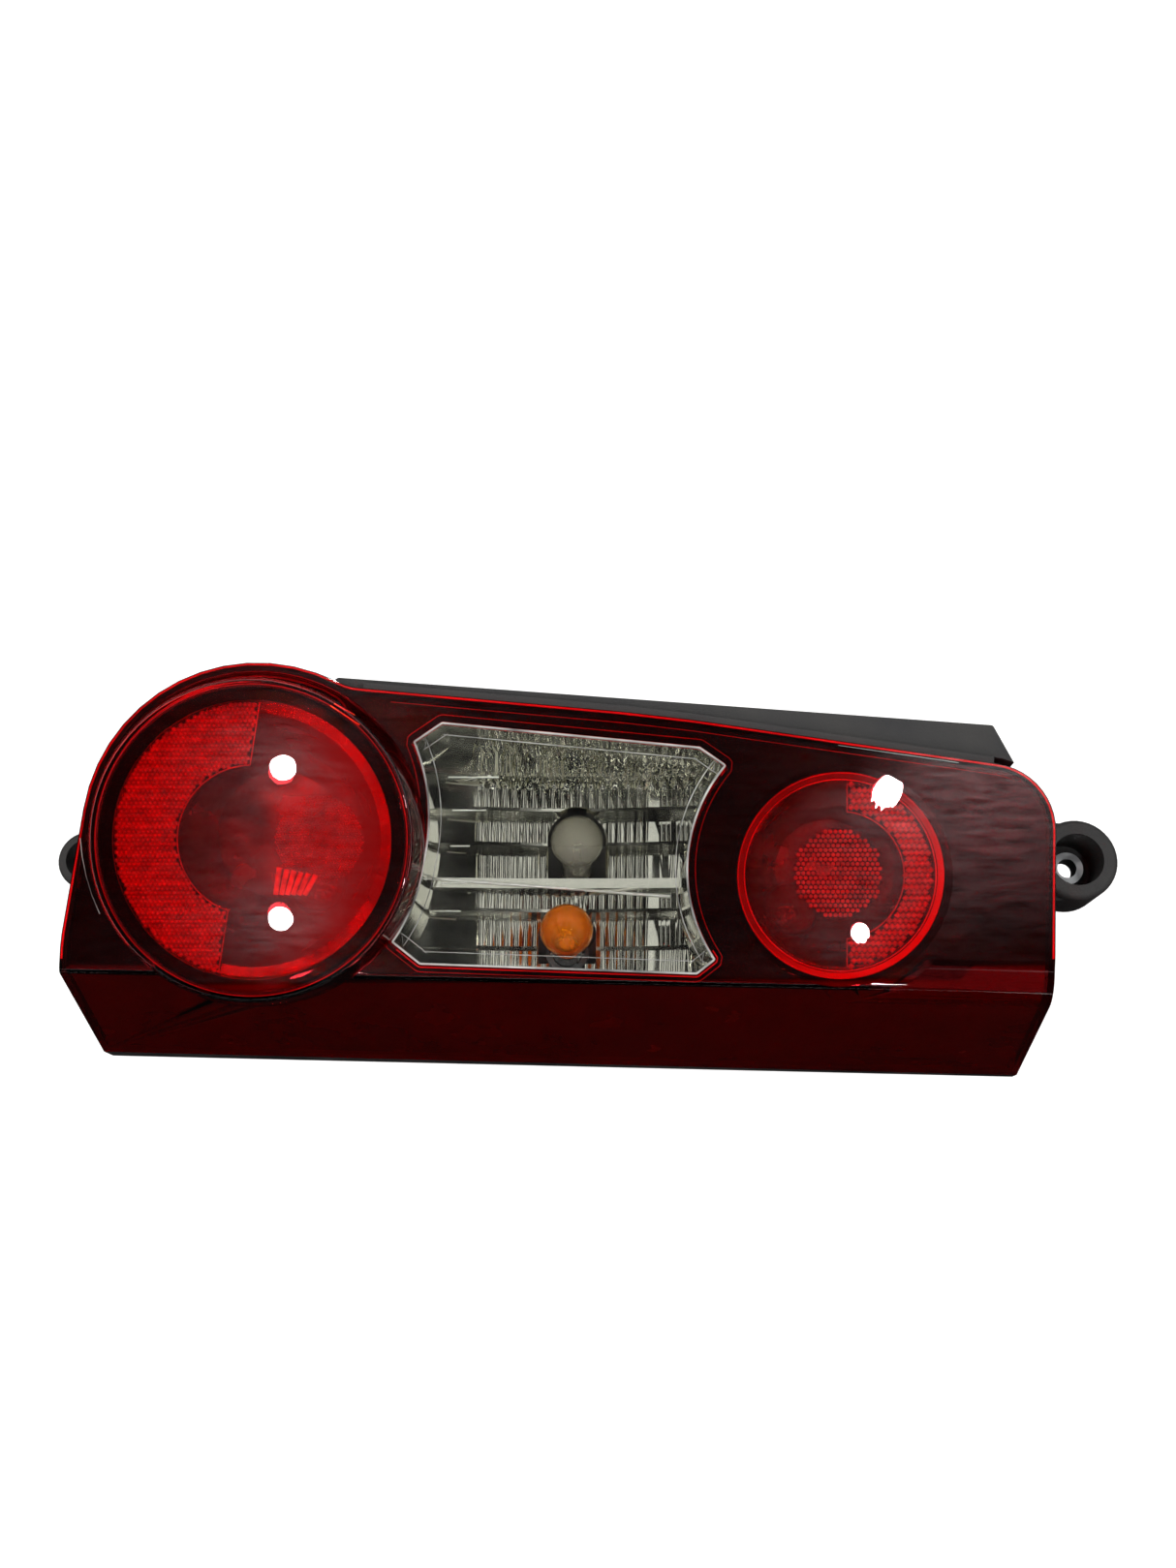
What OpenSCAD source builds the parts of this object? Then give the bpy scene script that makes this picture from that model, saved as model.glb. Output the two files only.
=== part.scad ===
// Car tail light cluster, lying on its back with the lens up.
// The plan frame has +Z out of the lens along the draw of the mouldings and z = 0 at the rear seat.
// The face frame is the plan frame tilted about X, with +Z square to the flat front face.

/* [Front face] */
// Tilt of the front face about X, in degrees
face_tilt = 15; // [10:1:20]
// Height of the face frame's origin above the rear seat
face_height = 140; // [132:1:150]
// Plan distance from the part's origin to the face frame's origin
middle_y = 33.42; // [25:0.01:42]
// Wall of the outer lens
lens_wall = 2.8; // [2:0.1:3.4]
// Gap from the lens to the mask behind it
mask_gap = 1.2; // [0.8:0.1:1.6]
// Wall of the mask
mask_wall = 1.6; // [1.2:0.1:2]

/* [Outline of the lens] */
// Reach of the lens to the right
right_reach = 221.5; // [214:0.5:228]
// Reach of the lens to the left
left_reach = 249.5; // [247:0.5:256]
// How far the lower corners flare out below the crease
corner_flare = 4.5; // [2:0.5:7]
// How far the top edge starts under the drum's crest
top_left_drop = 10.6; // [8.5:0.1:13.5]
// Height of the top edge at its crown
top_crown = 32.6; // [31:0.1:34]
// Height of the top edge at the right corner
top_right = 5.5; // [2:0.1:8]
// Where the top edge has its crown
crown_u = 34; // [28:1:40]
// Radius of the upper right corner
corner_r = 32; // [22:1:38]

/* [Flank] */
// Where the crease lies below the origin
crease_v = 94; // [92:0.5:98]
// Angle of the flank under the face, in degrees
flank_angle = 60; // [57:1:63]
// How far the crease turns away from X, in degrees
flank_skew = 1.2; // [0:0.1:2]
// Radius of the crease under the window
crease_r = 4; // [3:0.5:8]
// Radius where the crease fades out at the right end
fade_r = 31; // [20:1:36]
// Where the sharp crease turns up round the small light
pad_right = 179; // [176:1:186]
// Radius of that turn
pad_turn_r = 64; // [52:1:70]

/* [Large light] */
// Room between the large light's flange and the left side
drum_side = 9.6; // [8:0.1:13]
// Centre of the large light up the face
large_v = -26; // [-29:0.1:-23]
// Radius of the lens outline round the drum
flange_r = 83.5; // [82:0.1:86]
// Width of the flange round the drum's foot
drum_foot = 4; // [3:0.1:5.5]
// How far the drum's wall leans in to its front rim
drum_taper = 4.9; // [3.5:0.1:6]
// Height of the drum over the face
drum_height = 17; // [12:0.5:20]
// Rise of the domed front
drum_dome = 5; // [3:0.5:8]
// Radius of the blend between the drum and the top edge
blend_r = 26; // [14:1:34]
// Width of the dark ring inside the drum's rim
large_dark_w = 9.6; // [8:0.1:13]
// Radius inside the reflex ring
large_ring_r = 34.6; // [30:0.2:38]
// Radius of the pebbled disc
large_disc_r = 21; // [17:0.5:23]
// Offset of the pebbled disc from the centre
large_disc_u = 31; // [28:0.5:33]
// Depth of the bowl behind the large light
large_bowl_depth = 78; // [74:1:80]
// Radius of that bowl's floor
large_bowl_low_r = 34; // [32:0.5:36]

/* [Small light] */
// Centre of the small light along X
small_u = 120; // [116:0.5:124]
// Centre of the small light up the face
small_v = -43.5; // [-46:0.5:-41]
// Radius of the lit opening
small_open_r = 49.5; // [46:0.5:51]
// Rise of the low dome
small_dome = 3; // [2:0.5:4]
// Height of the step round the dome
small_step = 0.6; // [0.4:0.1:0.8]
// Outer radius of the reflex ring
small_ring_outer_r = 44.4; // [42:0.2:45]
// Radius inside the reflex ring
small_ring_r = 30.2; // [27:0.2:33]
// Radius of the pillowed disc
small_disc_r = 21.5; // [18:0.5:24]
// Depth of the bowl behind the small light
small_bowl_depth = 52; // [49:1:54]
// Radius of that bowl's floor
small_bowl_low_r = 27; // [25:0.5:29]

/* [Window] */
// How far the window's lower edge reaches in beside the drum
window_low_in = 6.5; // [4:0.1:9]
// Right end of the window's lower edge
window_low_right = 51.3; // [49:0.2:54]
// How far the window's upper edge starts from the drum
window_top_out = 4; // [2:0.1:7]
// Right end of the window's upper edge
window_top_right = 52.7; // [50:0.2:55]
// Plan height of the lower edge at its left end
window_low_y = -81.8; // [-83:0.2:-80]
// Plan height of the upper edge at its left end
window_top_y = 27.7; // [26:0.2:29]
// How far the upper edge falls to the right
window_fall = 11.3; // [9:0.1:13]
// Reach of the chamfered corners
window_chamfer = 13; // [11:0.2:15]
// How far the left waist reaches in beside the drum
waist_in = 2.1; // [0.5:0.1:4]
// Plan height of the left waist
waist_left_y = -13.7; // [-16:0.1:-11]
// Waist of the right side
waist_right = 46.7; // [45:0.2:48]
// Plan height of the right waist
waist_right_y = -36.3; // [-39:0.1:-34]

/* [Stepped reflector] */
// Wall of the reflectors
reflector_wall = 1.6; // [1.2:0.1:2]
// Pitch of the flutes
flute_pitch = 4.7; // [4:0.1:6]
// Depth of each flute
flute_depth = 0.7; // [0.4:0.1:1]
// Depth of the uppermost tread under the face's origin
tread_depth = 40; // [37:0.5:43]
// Drop from one tread to the next
tread_drop = 12.6; // [10:0.2:14]
// Run of one tread
tread_run = 14.8; // [14:0.1:16]
// Thickness of the divider between the two chambers
divider_t = 5; // [3:0.5:6]
// Height of the divider over the tread before it
divider_rise = 13; // [10:1:16]
// Run of the first tread behind the divider
ledge_run = 9; // [7:0.5:11]
// Depth of that tread
ledge_depth = 74; // [71:0.5:76]
// Run of the lowest wide tread
floor_run = 17; // [14:0.5:20]
// Depth of that tread
floor_depth = 86.5; // [84:0.5:88]

/* [Housing] */
// Wall of the housing
housing_wall = 3; // [2.4:0.1:3.6]
// Height of the outboard rim over the seat
rim_height = 14; // [12:0.5:20]
// Plan position of the outboard rim
rim_y = 118; // [116:0.5:122]
// Slope of the joint between lens and housing, in degrees
joint_tilt = 38; // [36:0.5:40]
// Width of the flange that carries the lens
flange_w = 9; // [7:0.5:11]
// Depth of the gasket groove
gasket_t = 3; // [2:0.5:4]
// Width of the gasket
gasket_w = 8; // [5:0.5:9]
// Distance of the shoulder's right end from the right side
shoulder_right_in = 28.7; // [24:0.1:33]
// How far the shoulder's left end stands above the top edge
shoulder_left_up = 3.6; // [2:0.1:6]
// Plan height of the shoulder at its right end
shoulder_right_y = 28.6; // [26:0.1:31]
// Height of the shoulder wall
shoulder_h = 22; // [14:1:30]
// Depth of the shoulder's top under the face
shoulder_drop = 6; // [5:0.5:9]

/* [Ears] */
// Distance of the right sleeve from the lens
right_ear_out = 29.3; // [28:0.1:34]
// Distance of the left sleeve from the lens
left_ear_out = 7.3; // [6.5:0.1:10]
// Plan position of both sleeves below the origin
ear_y = 19; // [17:0.5:21]
// Outer radius of the right ear
right_ear_r = 21; // [18:0.5:23]
// Outer radius of the left ear
left_ear_r = 15; // [13:0.5:17]
// Radius of the cup in the right ear
right_cup_r = 13.5; // [12:0.5:15]
// Radius of the cup in the left ear
left_cup_r = 10.5; // [9.5:0.5:11.5]
// Top of the ears over the seat
ear_top = 62; // [54:1:68]
// Height of the ears
ear_h = 34; // [28:1:40]
// Radius of the rounded rim of the ears
ear_round = 3; // [2:0.5:3.5]
// How far the web lies under the rim of its ear
web_drop = 7; // [5:0.5:10]
// Floor under the cup of each ear
ear_floor = 5; // [4:0.5:7]
// Bore of the sleeves
sleeve_bore = 10; // [8:0.5:11]
// Outer diameter of the sleeves
sleeve_od = 17; // [15:0.5:18]
// Length of the sleeves
sleeve_len = 12; // [10:0.5:15]

/* [Bulb carrier] */
// Distance of the carrier bay's left end from the left side
bay_left_in = 74.5; // [71:0.5:77]
// Right end of the carrier bay
bay_right = 135; // [132:1:138]
// Outboard side of the carrier bay
bay_low = 98; // [97:0.5:100]
// Inboard side of the carrier bay
bay_high = 13; // [10:1:14]
// Height of the bay's ledge over the seat
bay_ledge = 27; // [25:0.5:28]
// Width of the bay's ledge
ledge_w = 16; // [15:0.5:17]
// Thickness of the carrier plate
carrier_t = 2.5; // [2:0.1:3]
// Thickness of the carrier seal
seal_t = 2; // [1.5:0.1:3]
// Play round the carrier plate
carrier_play = 1; // [0.5:0.1:1.5]
// Outer radius of a bulb cup
cup_r = 11; // [10:0.2:12]
// How much of a bulb's cap its cup holds
cup_grip = 7.5; // [6:0.5:8]
// Diameter of the carrier screws
screw_d = 3.2; // [3:0.1:3.8]

/* [Bulbs] */
// Height of the glass centres over the seat
glass_z = 74; // [72:0.5:78]
// Radius of the glass
glass_r = 13.25; // [12:0.25:13.5]
// Wall of the glass
glass_wall = 0.8; // [0.6:0.1:1]
// Overall length of a bulb
bulb_len = 52.5; // [50:0.5:54]
// Radius of the cap
cap_r = 7.5; // [7:0.1:7.8]
// Length of the cap
cap_len = 19; // [16:0.5:20]
// Radius of the bayonet pins on the cap
pin_r = 1; // [0.8:0.1:1.2]
// Reach of the bayonet pins from the cap
pin_reach = 1.3; // [1:0.1:1.6]
// Lean of the reversing bulb up the face, in degrees
reverse_lean = 35; // [28:1:37]
// Lean of the indicator bulb, in degrees
indicator_lean = 11; // [8:1:12]
// Room round each bulb in its reflector
bulb_room = 1.5; // [1:0.1:2.5]

/* [Hidden] */
$fn = 64;
arc_step = 8;
// Reach of the blocks and shafts that cut right through
deep = 260;
wide = 700;

// Depths under the lens skin
mask_d = lens_wall + mask_gap;
mask_in_d = mask_d + mask_wall;
optic_t = 2;
seat_fit = 0.3;

function unit(v) = v / norm(v);
function left_of(v) = [-v.y, v.x];
function dir(a) = [cos(a), sin(a)];
function cross2(a, b) = a.x * b.y - a.y * b.x;

// Corner of a counter-clockwise outline at b, moved inward by d and rounded by r
function corner(a, b, c, r, d) =
    let (
        e1 = unit(b - a),
        e2 = unit(c - b),
        n1 = left_of(e1),
        n2 = left_of(e2),
        p = b + (n1 + n2) * d / (1 + n1 * n2),
        turn = cross2(e1, e2) > 0 ? 1 : -1,
        rr = r == 0 ? 0 : max(r - turn * d, 0.2),
        sweep = acos(max(-1, min(1, e1 * e2))),
        steps = max(1, ceil(sweep / arc_step)),
        centre = p + rr * (n1 + n2) * turn / (1 + n1 * n2),
        start = atan2(-turn * n1.y, -turn * n1.x)
    )
    rr == 0 || sweep < 0.5 ? [p] : [for (i = [0 : steps]) centre + rr * dir(start + turn * sweep * i / steps)];

// Points of an arc from one angle to another
function arc(centre, r, a0, a1) =
    let (steps = max(1, ceil(abs(a1 - a0) / arc_step)))
    [for (i = [0 : steps]) centre + r * dir(a0 + (a1 - a0) * i / steps)];

// Centre of the circle through three points
function circle_centre(a, b, c) =
    let (
        d = 2 * (a.x * (b.y - c.y) + b.x * (c.y - a.y) + c.x * (a.y - b.y)),
        x = (a * a * (b.y - c.y) + b * b * (c.y - a.y) + c * c * (a.y - b.y)) / d,
        y = (a * a * (c.x - b.x) + b * b * (a.x - c.x) + c * c * (b.x - a.x)) / d
    )
    [x, y];

large_u = -left_reach + drum_side + flange_r;
drum_base_r = flange_r - drum_foot;
drum_rim_r = drum_base_r - drum_taper;
large_open_r = drum_rim_r - large_dark_w;
large_at = [large_u, large_v];
small_at = [small_u, small_v];

// Bulb places in the plan frame, and the top of the holes that let the bulbs in
stop_at = large_at + [21.4, -9];
reverse_at = [-5.6, -12.5];
indicator_at = [-10.7, -58];
fog_at = small_at + [-19, -3.5];
hole_top = glass_z + 30;

// Outline of the lens in the face frame, counter-clockwise, moved inward by d
edge_low = -170;
crown_r = 600;
side_r = 50;
flare_r = 40;
low_left = [-left_reach - corner_flare, edge_low];
low_right = [right_reach + corner_flare, edge_low];
flare_right = [right_reach - 0.5, -crease_v + 6];
high_right = [right_reach, top_right];
crown = [crown_u, top_crown];
top_left = large_v + flange_r - top_left_drop;
high_left = [large_u + 31.4, top_left];
side_left = [-left_reach, -crease_v + 20];
left_tangent = let (q = side_left - large_at)
    atan2(q.y, q.x) - acos(flange_r / norm(q)) + 360;
tangent_left = large_at + flange_r * dir(left_tangent);

// Blend circle that touches the top edge and the outline round the drum
top_dir = unit(crown - high_left);
top_normal = left_of(top_dir);
blend_q = high_left + blend_r * top_normal - large_at;
blend_s = -(blend_q * top_dir) + sqrt(pow(blend_q * top_dir, 2) - blend_q * blend_q + pow(flange_r + blend_r, 2));
blend_at = large_at + blend_q + blend_s * top_dir;
blend_a0 = atan2(-top_normal.y, -top_normal.x);
blend_a1 = let (q = large_at - blend_at) atan2(q.y, q.x);
drum_a0 = blend_a1 + 180;

function outline(d, ll = low_left, lr = low_right) = concat(
    corner(side_left, ll, lr, 0, d),
    corner(ll, lr, flare_right, 0, d),
    corner(lr, flare_right, high_right, flare_r, d),
    corner(flare_right, high_right, crown, corner_r, d),
    corner(high_right, crown, high_left, crown_r, d),
    arc(blend_at, blend_r + d, blend_a0, blend_a1),
    arc(large_at, flange_r - d, drum_a0, left_tangent),
    corner(tangent_left, side_left, ll, side_r, d)
);

// The joint between lens and housing is one sloping plane, w = joint_a + joint_b * v on the face frame
joint_slope = tan(joint_tilt);
joint_den = cos(face_tilt) + joint_slope * sin(face_tilt);
joint_b = (joint_slope * cos(face_tilt) - sin(face_tilt)) / joint_den;
joint_a = (rim_height - face_height + rim_y * joint_slope) / joint_den;
function on_joint(p) = [p.x, p.y * (cos(face_tilt) - joint_b * sin(face_tilt)) - joint_a * sin(face_tilt)];

// Line on which the flank meets the joint
function rim_run(u) =
    (joint_a - joint_b * (u * sin(flank_skew) + crease_v * cos(flank_skew)))
    / (joint_b * cos(flank_angle) * cos(flank_skew) - sin(flank_angle));
function rim_v(u) = -u * sin(flank_skew) - (crease_v + rim_run(u) * cos(flank_angle)) * cos(flank_skew);
function side_at(a, b, v) = a + (b - a) * (v - a.y) / (b.y - a.y);
rim_left = side_at(side_left, low_left, rim_v(-left_reach));
rim_right = side_at(flare_right, low_right, rim_v(right_reach));
function tub_outline(d) = [for (p = outline(d, rim_left, rim_right)) on_joint(p)];

// Sets the part over its origin
module centred() {
    translate([0, middle_y, 0])
    children();
}

module face_frame() {
    translate([0, 0, face_height])
    rotate([face_tilt, 0, 0])
    children();
}

// Everything above the joint plane, raised by lift
module above_joint(lift = 0) {
    translate([0, -rim_y, rim_height + lift])
    rotate([joint_tilt, 0, 0])
    translate([-wide / 2, -deep / 2, 0])
    cube([wide, wide, deep]);
}

module below_joint(drop = 0) {
    translate([0, -rim_y, rim_height - drop])
    rotate([joint_tilt, 0, 0])
    translate([-wide / 2, -deep / 2, -deep])
    cube([wide, wide, deep]);
}

// Section of face and flank, inset by d, run along the crease
module section(r, d) {
    flank = -dir(flank_angle);
    low = [-crease_v, 0] + 140 * flank;
    profile = concat(
        [[150, low.y], [150, -d]],
        corner([150, 0], [-crease_v, 0], low, r, d),
        [low + d * left_of(flank)]
    );
    rotate([0, 0, -flank_skew])
    rotate([90, 0, 90])
    linear_extrude(wide, center = true)
    polygon(profile);
}

// Plan of the pad that keeps the sharp crease, with its end turned up round the small light
module pad_plan(d) {
    left = -330;
    low = -crease_v - 12;
    polygon(concat(
        [[left, 120], [left, low]],
        corner([left, low], [pad_right, low], [pad_right, 120], pad_turn_r, d),
        [[pad_right - d, 120]]
    ));
}

// Solid of the drum, inset by d
module drum_solid(d) {
    rim = drum_rim_r - d;
    top = drum_height - d;
    base = drum_base_r - d;
    foot = 40;
    dome_r = (rim * rim + drum_dome * drum_dome) / (2 * drum_dome);
    dome_a = asin(rim / dome_r);
    profile = concat(
        [[0, -foot], [base, -foot], [base, 0]],
        corner([base, 0], [rim + 0.6, top + 0.6], [0, top + drum_dome], 2.4, 0),
        [for (i = [7 : -1 : 0]) let (a = dome_a * i / 8)
            [i == 0 ? 0 : dome_r * sin(a), top + drum_dome - dome_r + dome_r * cos(a)]]
    );
    translate([large_u, large_v, 0])
    rotate_extrude()
    polygon(profile);
}

// Low dome over the small light, on a shallow step, inset by d
module small_dome_solid(d) {
    r = small_open_r + 3;
    rise = small_dome - small_step;
    ball = (r * r + rise * rise) / (2 * rise);
    translate([small_u, small_v, small_dome - ball - d])
    intersection() {
        sphere(r = ball);
        translate([0, 0, ball - rise - 2])
        cylinder(r = r, h = rise + 3);
    }
}

// Whole lens solid, inset by d, not yet cut at the joint
module lens_solid(d) {
    intersection() {
        translate([0, 0, -deep + 20])
        linear_extrude(deep)
        polygon(outline(d));
        union() {
            section(fade_r, d);
            intersection() {
                section(crease_r, d);
                translate([0, 0, -60])
                linear_extrude(70)
                pad_plan(d);
            }
        }
    }
    drum_solid(d);
    small_dome_solid(d);
}

// Window in plan, inset by d: chamfered outline with two hollow sides
drum_right = large_u + flange_r;
window_low_left = drum_right - window_low_in;
window_top_left = drum_right + window_top_out;
waist_left = drum_right - waist_in;
low_right_y = window_low_y - 4.5;
top_right_y = window_top_y - window_fall;
window_lug = [window_chamfer, window_chamfer * 0.75];
lug_low_right = [8.2, 6.2];
lug_top_right = [11.9, -7.9];
window_points = [
    [window_low_left, window_low_y],
    [window_low_right, low_right_y],
    [window_low_right, low_right_y] + lug_low_right,
    [window_top_right, top_right_y] + lug_top_right,
    [window_top_right, top_right_y],
    [window_top_left, window_top_y],
    [window_top_left - window_lug.x, window_top_y - window_lug.y + 1.3],
    [window_low_left - window_lug.x - 2.4, window_low_y + window_lug.y + 2]
];
left_waist = circle_centre(window_points[6], [waist_left, waist_left_y], window_points[7]);
right_waist = circle_centre(window_points[2], [waist_right, waist_right_y], window_points[3]);

module window_plan(d) {
    n = len(window_points);
    p = window_points;
    difference() {
        polygon([for (i = [0 : n - 1]) each corner(p[(i + n - 1) % n], p[i], p[(i + 1) % n], 1.5, d)]);
        translate(left_waist)
        circle(r = norm(window_points[6] - left_waist) + d);
        translate(right_waist)
        circle(r = norm(window_points[2] - right_waist) + d);
        translate([large_u, large_v * cos(face_tilt)])
        circle(r = drum_base_r + d);
    }
}

// Shaft of the window along Z, longer by over at both ends
module window_shaft(d, over = 0) {
    translate([0, 0, -over])
    linear_extrude(deep + 2 * over)
    window_plan(d);
}

// Tube along Z or along the face normal
module ring(r_out, r_in, h) {
    difference() {
        cylinder(r = r_out, h = h);
        translate([0, 0, -1])
        cylinder(r = r_in, h = h + 2);
    }
}

module outer_lens() {
    color("#7d0410")
    centred()
    difference() {
        intersection() {
            face_frame()
            lens_solid(0);
            above_joint();
        }
        face_frame()
        lens_solid(lens_wall);
        window_shaft(0);
    }
}

module window_lens() {
    color("#dfe6e8")
    centred()
    intersection() {
        difference() {
            face_frame()
            lens_solid(0);
            face_frame()
            lens_solid(lens_wall);
        }
        window_shaft(0);
        above_joint();
    }
}

// Depth of each optic stack under the face, on the face frame
large_seat = drum_height - mask_in_d - 1;
small_seat = -mask_in_d - 2;

module mask() {
    color("#101012")
    centred()
    difference() {
        intersection() {
            face_frame()
            lens_solid(mask_d);
            above_joint();
        }
        face_frame()
        difference() {
            lens_solid(mask_in_d);
            translate([large_u, large_v, large_seat])
            cylinder(r = large_open_r + mask_wall, h = 40);
            translate([small_u, small_v, small_seat])
            cylinder(r = small_open_r + mask_wall, h = 40);
        }
        window_shaft(-reflector_wall - seat_fit);
        face_frame() {
            translate([large_u, large_v, large_seat - 1])
            cylinder(r = large_open_r, h = 60);
            translate([small_u, small_v, small_seat - 1])
            cylinder(r = small_open_r, h = 60);
        }
    }
}

// Half ring of prisms, open to one side
module reflex_zone(r_out, r_in, h, side, count, groove) {
    difference() {
        ring(r_out, r_in, h);
        translate([side > 0 ? -2 * r_out : 0, -r_out, -1])
        cube([2 * r_out, 2 * r_out, h + 2]);
        for (i = [1 : count])
            translate([-r_out, -r_out + i * 2 * r_out / (count + 1) - groove / 2, h - 0.8])
            cube([2 * r_out, groove, 2]);
    }
}

// Disc covered in small pillows in rows
module pillow_disc(r, h, pitch) {
    n = floor(r / pitch);
    cylinder(r = r, h = h);
    for (i = [-n : n])
        for (j = [-n : n])
            if (norm([i, j]) * pitch < r - pitch * 0.6)
                translate([i * pitch, j * pitch, h])
                cylinder(r = pitch * 0.36, h = 0.5);
}

module large_inner_lens() {
    color("#e0101a")
    centred()
    face_frame()
    translate([large_u, large_v, large_seat - optic_t]) {
        cylinder(r = large_open_r + mask_wall, h = optic_t);
        translate([0, 0, optic_t])
        reflex_zone(large_open_r - 0.5, large_ring_r, 2.2, -1, 28, 1.2);
        translate([large_disc_u, 0, optic_t])
        pillow_disc(large_disc_r, 0.8, 5);
    }
}

module small_inner_lens() {
    color("#e0101a")
    centred()
    face_frame()
    translate([small_u, small_v, small_seat - optic_t]) {
        cylinder(r = small_open_r + mask_wall, h = optic_t);
        translate([0, 0, optic_t])
        reflex_zone(small_ring_outer_r, small_ring_r, 2, 1, 20, 1.4);
        translate([0, 0, optic_t])
        pillow_disc(small_disc_r, 0.8, 5);
    }
}

// Bowl that narrows away from the lens, with a hole for its bulb
module bowl(centre, seat, r_top, r_low, depth, bulb) {
    difference() {
        face_frame()
        translate([centre.x, centre.y, seat - depth])
        rotate_extrude()
        polygon(concat(
            [[0, 0], [r_low, 0]],
            [for (i = [1 : 6]) let (f = i / 6) [r_low + (r_top - r_low) * sqrt(f), (depth - reflector_wall) * f]],
            [[r_top + 5, depth - reflector_wall], [r_top + 5, depth], [r_top - reflector_wall, depth]],
            [for (i = [5 : -1 : 0]) let (f = i / 6)
                [r_low - reflector_wall + (r_top - r_low) * sqrt(f), reflector_wall + (depth - reflector_wall) * f]],
            [[0, reflector_wall]]
        ));
        translate([bulb.x, bulb.y, 0])
        cylinder(r = glass_r + bulb_room, h = hole_top);
    }
}

module large_reflector() {
    color("#b8141c")
    centred()
    bowl(large_at, large_seat - optic_t, large_open_r - 4, large_bowl_low_r, large_bowl_depth, stop_at);
}

module small_reflector() {
    color("#b8141c")
    centred()
    bowl(small_at, small_seat - optic_t, small_open_r - 4, small_bowl_low_r, small_bowl_depth, fog_at);
}

// Treads of the stepped reflector, from the inboard side: where each starts and how high it lies
tread_start = 31;
reverse_treads = 4;
divider_y = tread_start - reverse_treads * tread_run - 3.6;
last_drop = 2.5;
treads = concat(
    [for (i = [0 : reverse_treads - 1]) [tread_start - i * tread_run, face_height - tread_depth - i * tread_drop]],
    [
        [divider_y - divider_t, face_height - ledge_depth],
        [divider_y - divider_t - ledge_run, face_height - floor_depth],
        [divider_y - divider_t - ledge_run - floor_run, face_height - floor_depth - last_drop]
    ]
);
tread_end = -100;
bowl_rate = 0.0016;
reflector_mid = (window_low_left + window_low_right) / 2 + 6;
fine_from = 36;
plain_to = window_top_left + 11.9;
tread_left = window_low_left - 20.6;
tread_right = 76;

// Places along a tread, from left to right in even steps
function along(from, to, steps) = [for (k = [0 : steps]) from + (to - from) * k / steps];

// Height of a tread's plain curve over its lowest line
function tread_curve(x) = bowl_rate * pow(x - reflector_mid, 2);

// Fluted skin of one tread at height z, as points from left to right
function fluted(z) = concat(
    [for (x = along(tread_left, plain_to, 4)) [x, z + tread_curve(x)]],
    [for (x = [plain_to + flute_pitch : flute_pitch : fine_from])
        each [for (k = [0 : 3]) let (q = x - flute_pitch + flute_pitch * k / 4)
            [q + 0.01, z + tread_curve(q) + flute_depth * sin(180 * k / 4)]]],
    [for (x = [fine_from : flute_pitch / 2 : 70])
        each [[x, z + tread_curve(x)], [x + flute_pitch / 4, z + tread_curve(x) + flute_depth]]]
);

// Plain curve under a tread, as points from right to left
function plain_back(z) = [for (x = along(tread_right, tread_left, 16)) [x, z + tread_curve(x)]];

// Extrudes a shape drawn in X and Z from y0 to y1
module along_y(y0, y1) {
    translate([0, y1, 0])
    rotate([90, 0, 0])
    linear_extrude(y1 - y0)
    children();
}

module tread_stack() {
    n = len(treads);
    for (i = [0 : n - 1]) {
        y1 = treads[i].x;
        y0 = i == n - 1 ? tread_end : treads[i + 1].x;
        z = treads[i].y;
        along_y(y0, y1)
        polygon(concat(fluted(z), plain_back(z - reflector_wall)));
        if (i > 0)
            along_y(y1 - reflector_wall, y1)
            polygon(concat(
                [for (x = along(tread_left, tread_right, 16)) [x, max(z, treads[i - 1].y) + tread_curve(x)]],
                plain_back(min(z, treads[i - 1].y) - reflector_wall)
            ));
    }
    along_y(divider_y - divider_t, divider_y)
    polygon(concat(
        [for (x = along(tread_left, tread_right, 16))
            [x, treads[reverse_treads - 1].y + divider_rise + tread_curve(x) / 3]],
        plain_back(treads[reverse_treads - 1].y - reflector_wall)
    ));
}

// Space above the treads, which the side wall fills
module wall_room() {
    n = len(treads);
    for (i = [0 : n - 1])
        along_y(i == n - 1 ? tread_end : treads[i + 1].x, i == 0 ? 60 : treads[i].x)
        polygon(concat(
            [[tread_right, 200], [tread_left, 200]],
            [for (x = along(tread_left, tread_right, 16)) [x, treads[i].y - reflector_wall + tread_curve(x)]]
        ));
}

module window_reflector() {
    color("#c9cdd0")
    centred()
    difference() {
        union() {
            intersection() {
                window_shaft(-reflector_wall + 0.1);
                tread_stack();
            }
            intersection() {
                difference() {
                    window_shaft(-reflector_wall);
                    window_shaft(0, 10);
                }
                wall_room();
                face_frame()
                section(crease_r, lens_wall + seat_fit);
            }
            intersection() {
                difference() {
                    window_shaft(-5);
                    window_shaft(0, 10);
                }
                face_frame()
                section(crease_r, mask_in_d);
                face_frame()
                translate([-wide / 2, -wide / 2, -mask_in_d - reflector_wall])
                cube([wide, wide, deep]);
            }
        }
        bulb_slot(reverse_at, divider_y - reverse_at.y);
        bulb_slot(indicator_at, -glass_r);
        cap_notch(reverse_at, face_height - ledge_depth + 0.5);
        cap_notch(indicator_at, glass_z);
    }
}

// Hole that lets a leaning bulb in from behind: round at the head, straight back to y0
module bulb_slot(at, y0) {
    r = glass_r + bulb_room;
    translate([at.x, at.y, 0]) {
        cylinder(r = r, h = hole_top);
        translate([-r, y0, 0])
        cube([2 * r, -y0, hole_top]);
    }
}

// Room for the cap that follows the head, up to height z
module cap_notch(at, z) {
    r = cap_r + bulb_room;
    translate([at.x - r, at.y - bulb_len / 2, 0])
    cube([2 * r, bulb_len / 2, z]);
}

bay_left = left_reach - bay_left_in;

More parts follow.
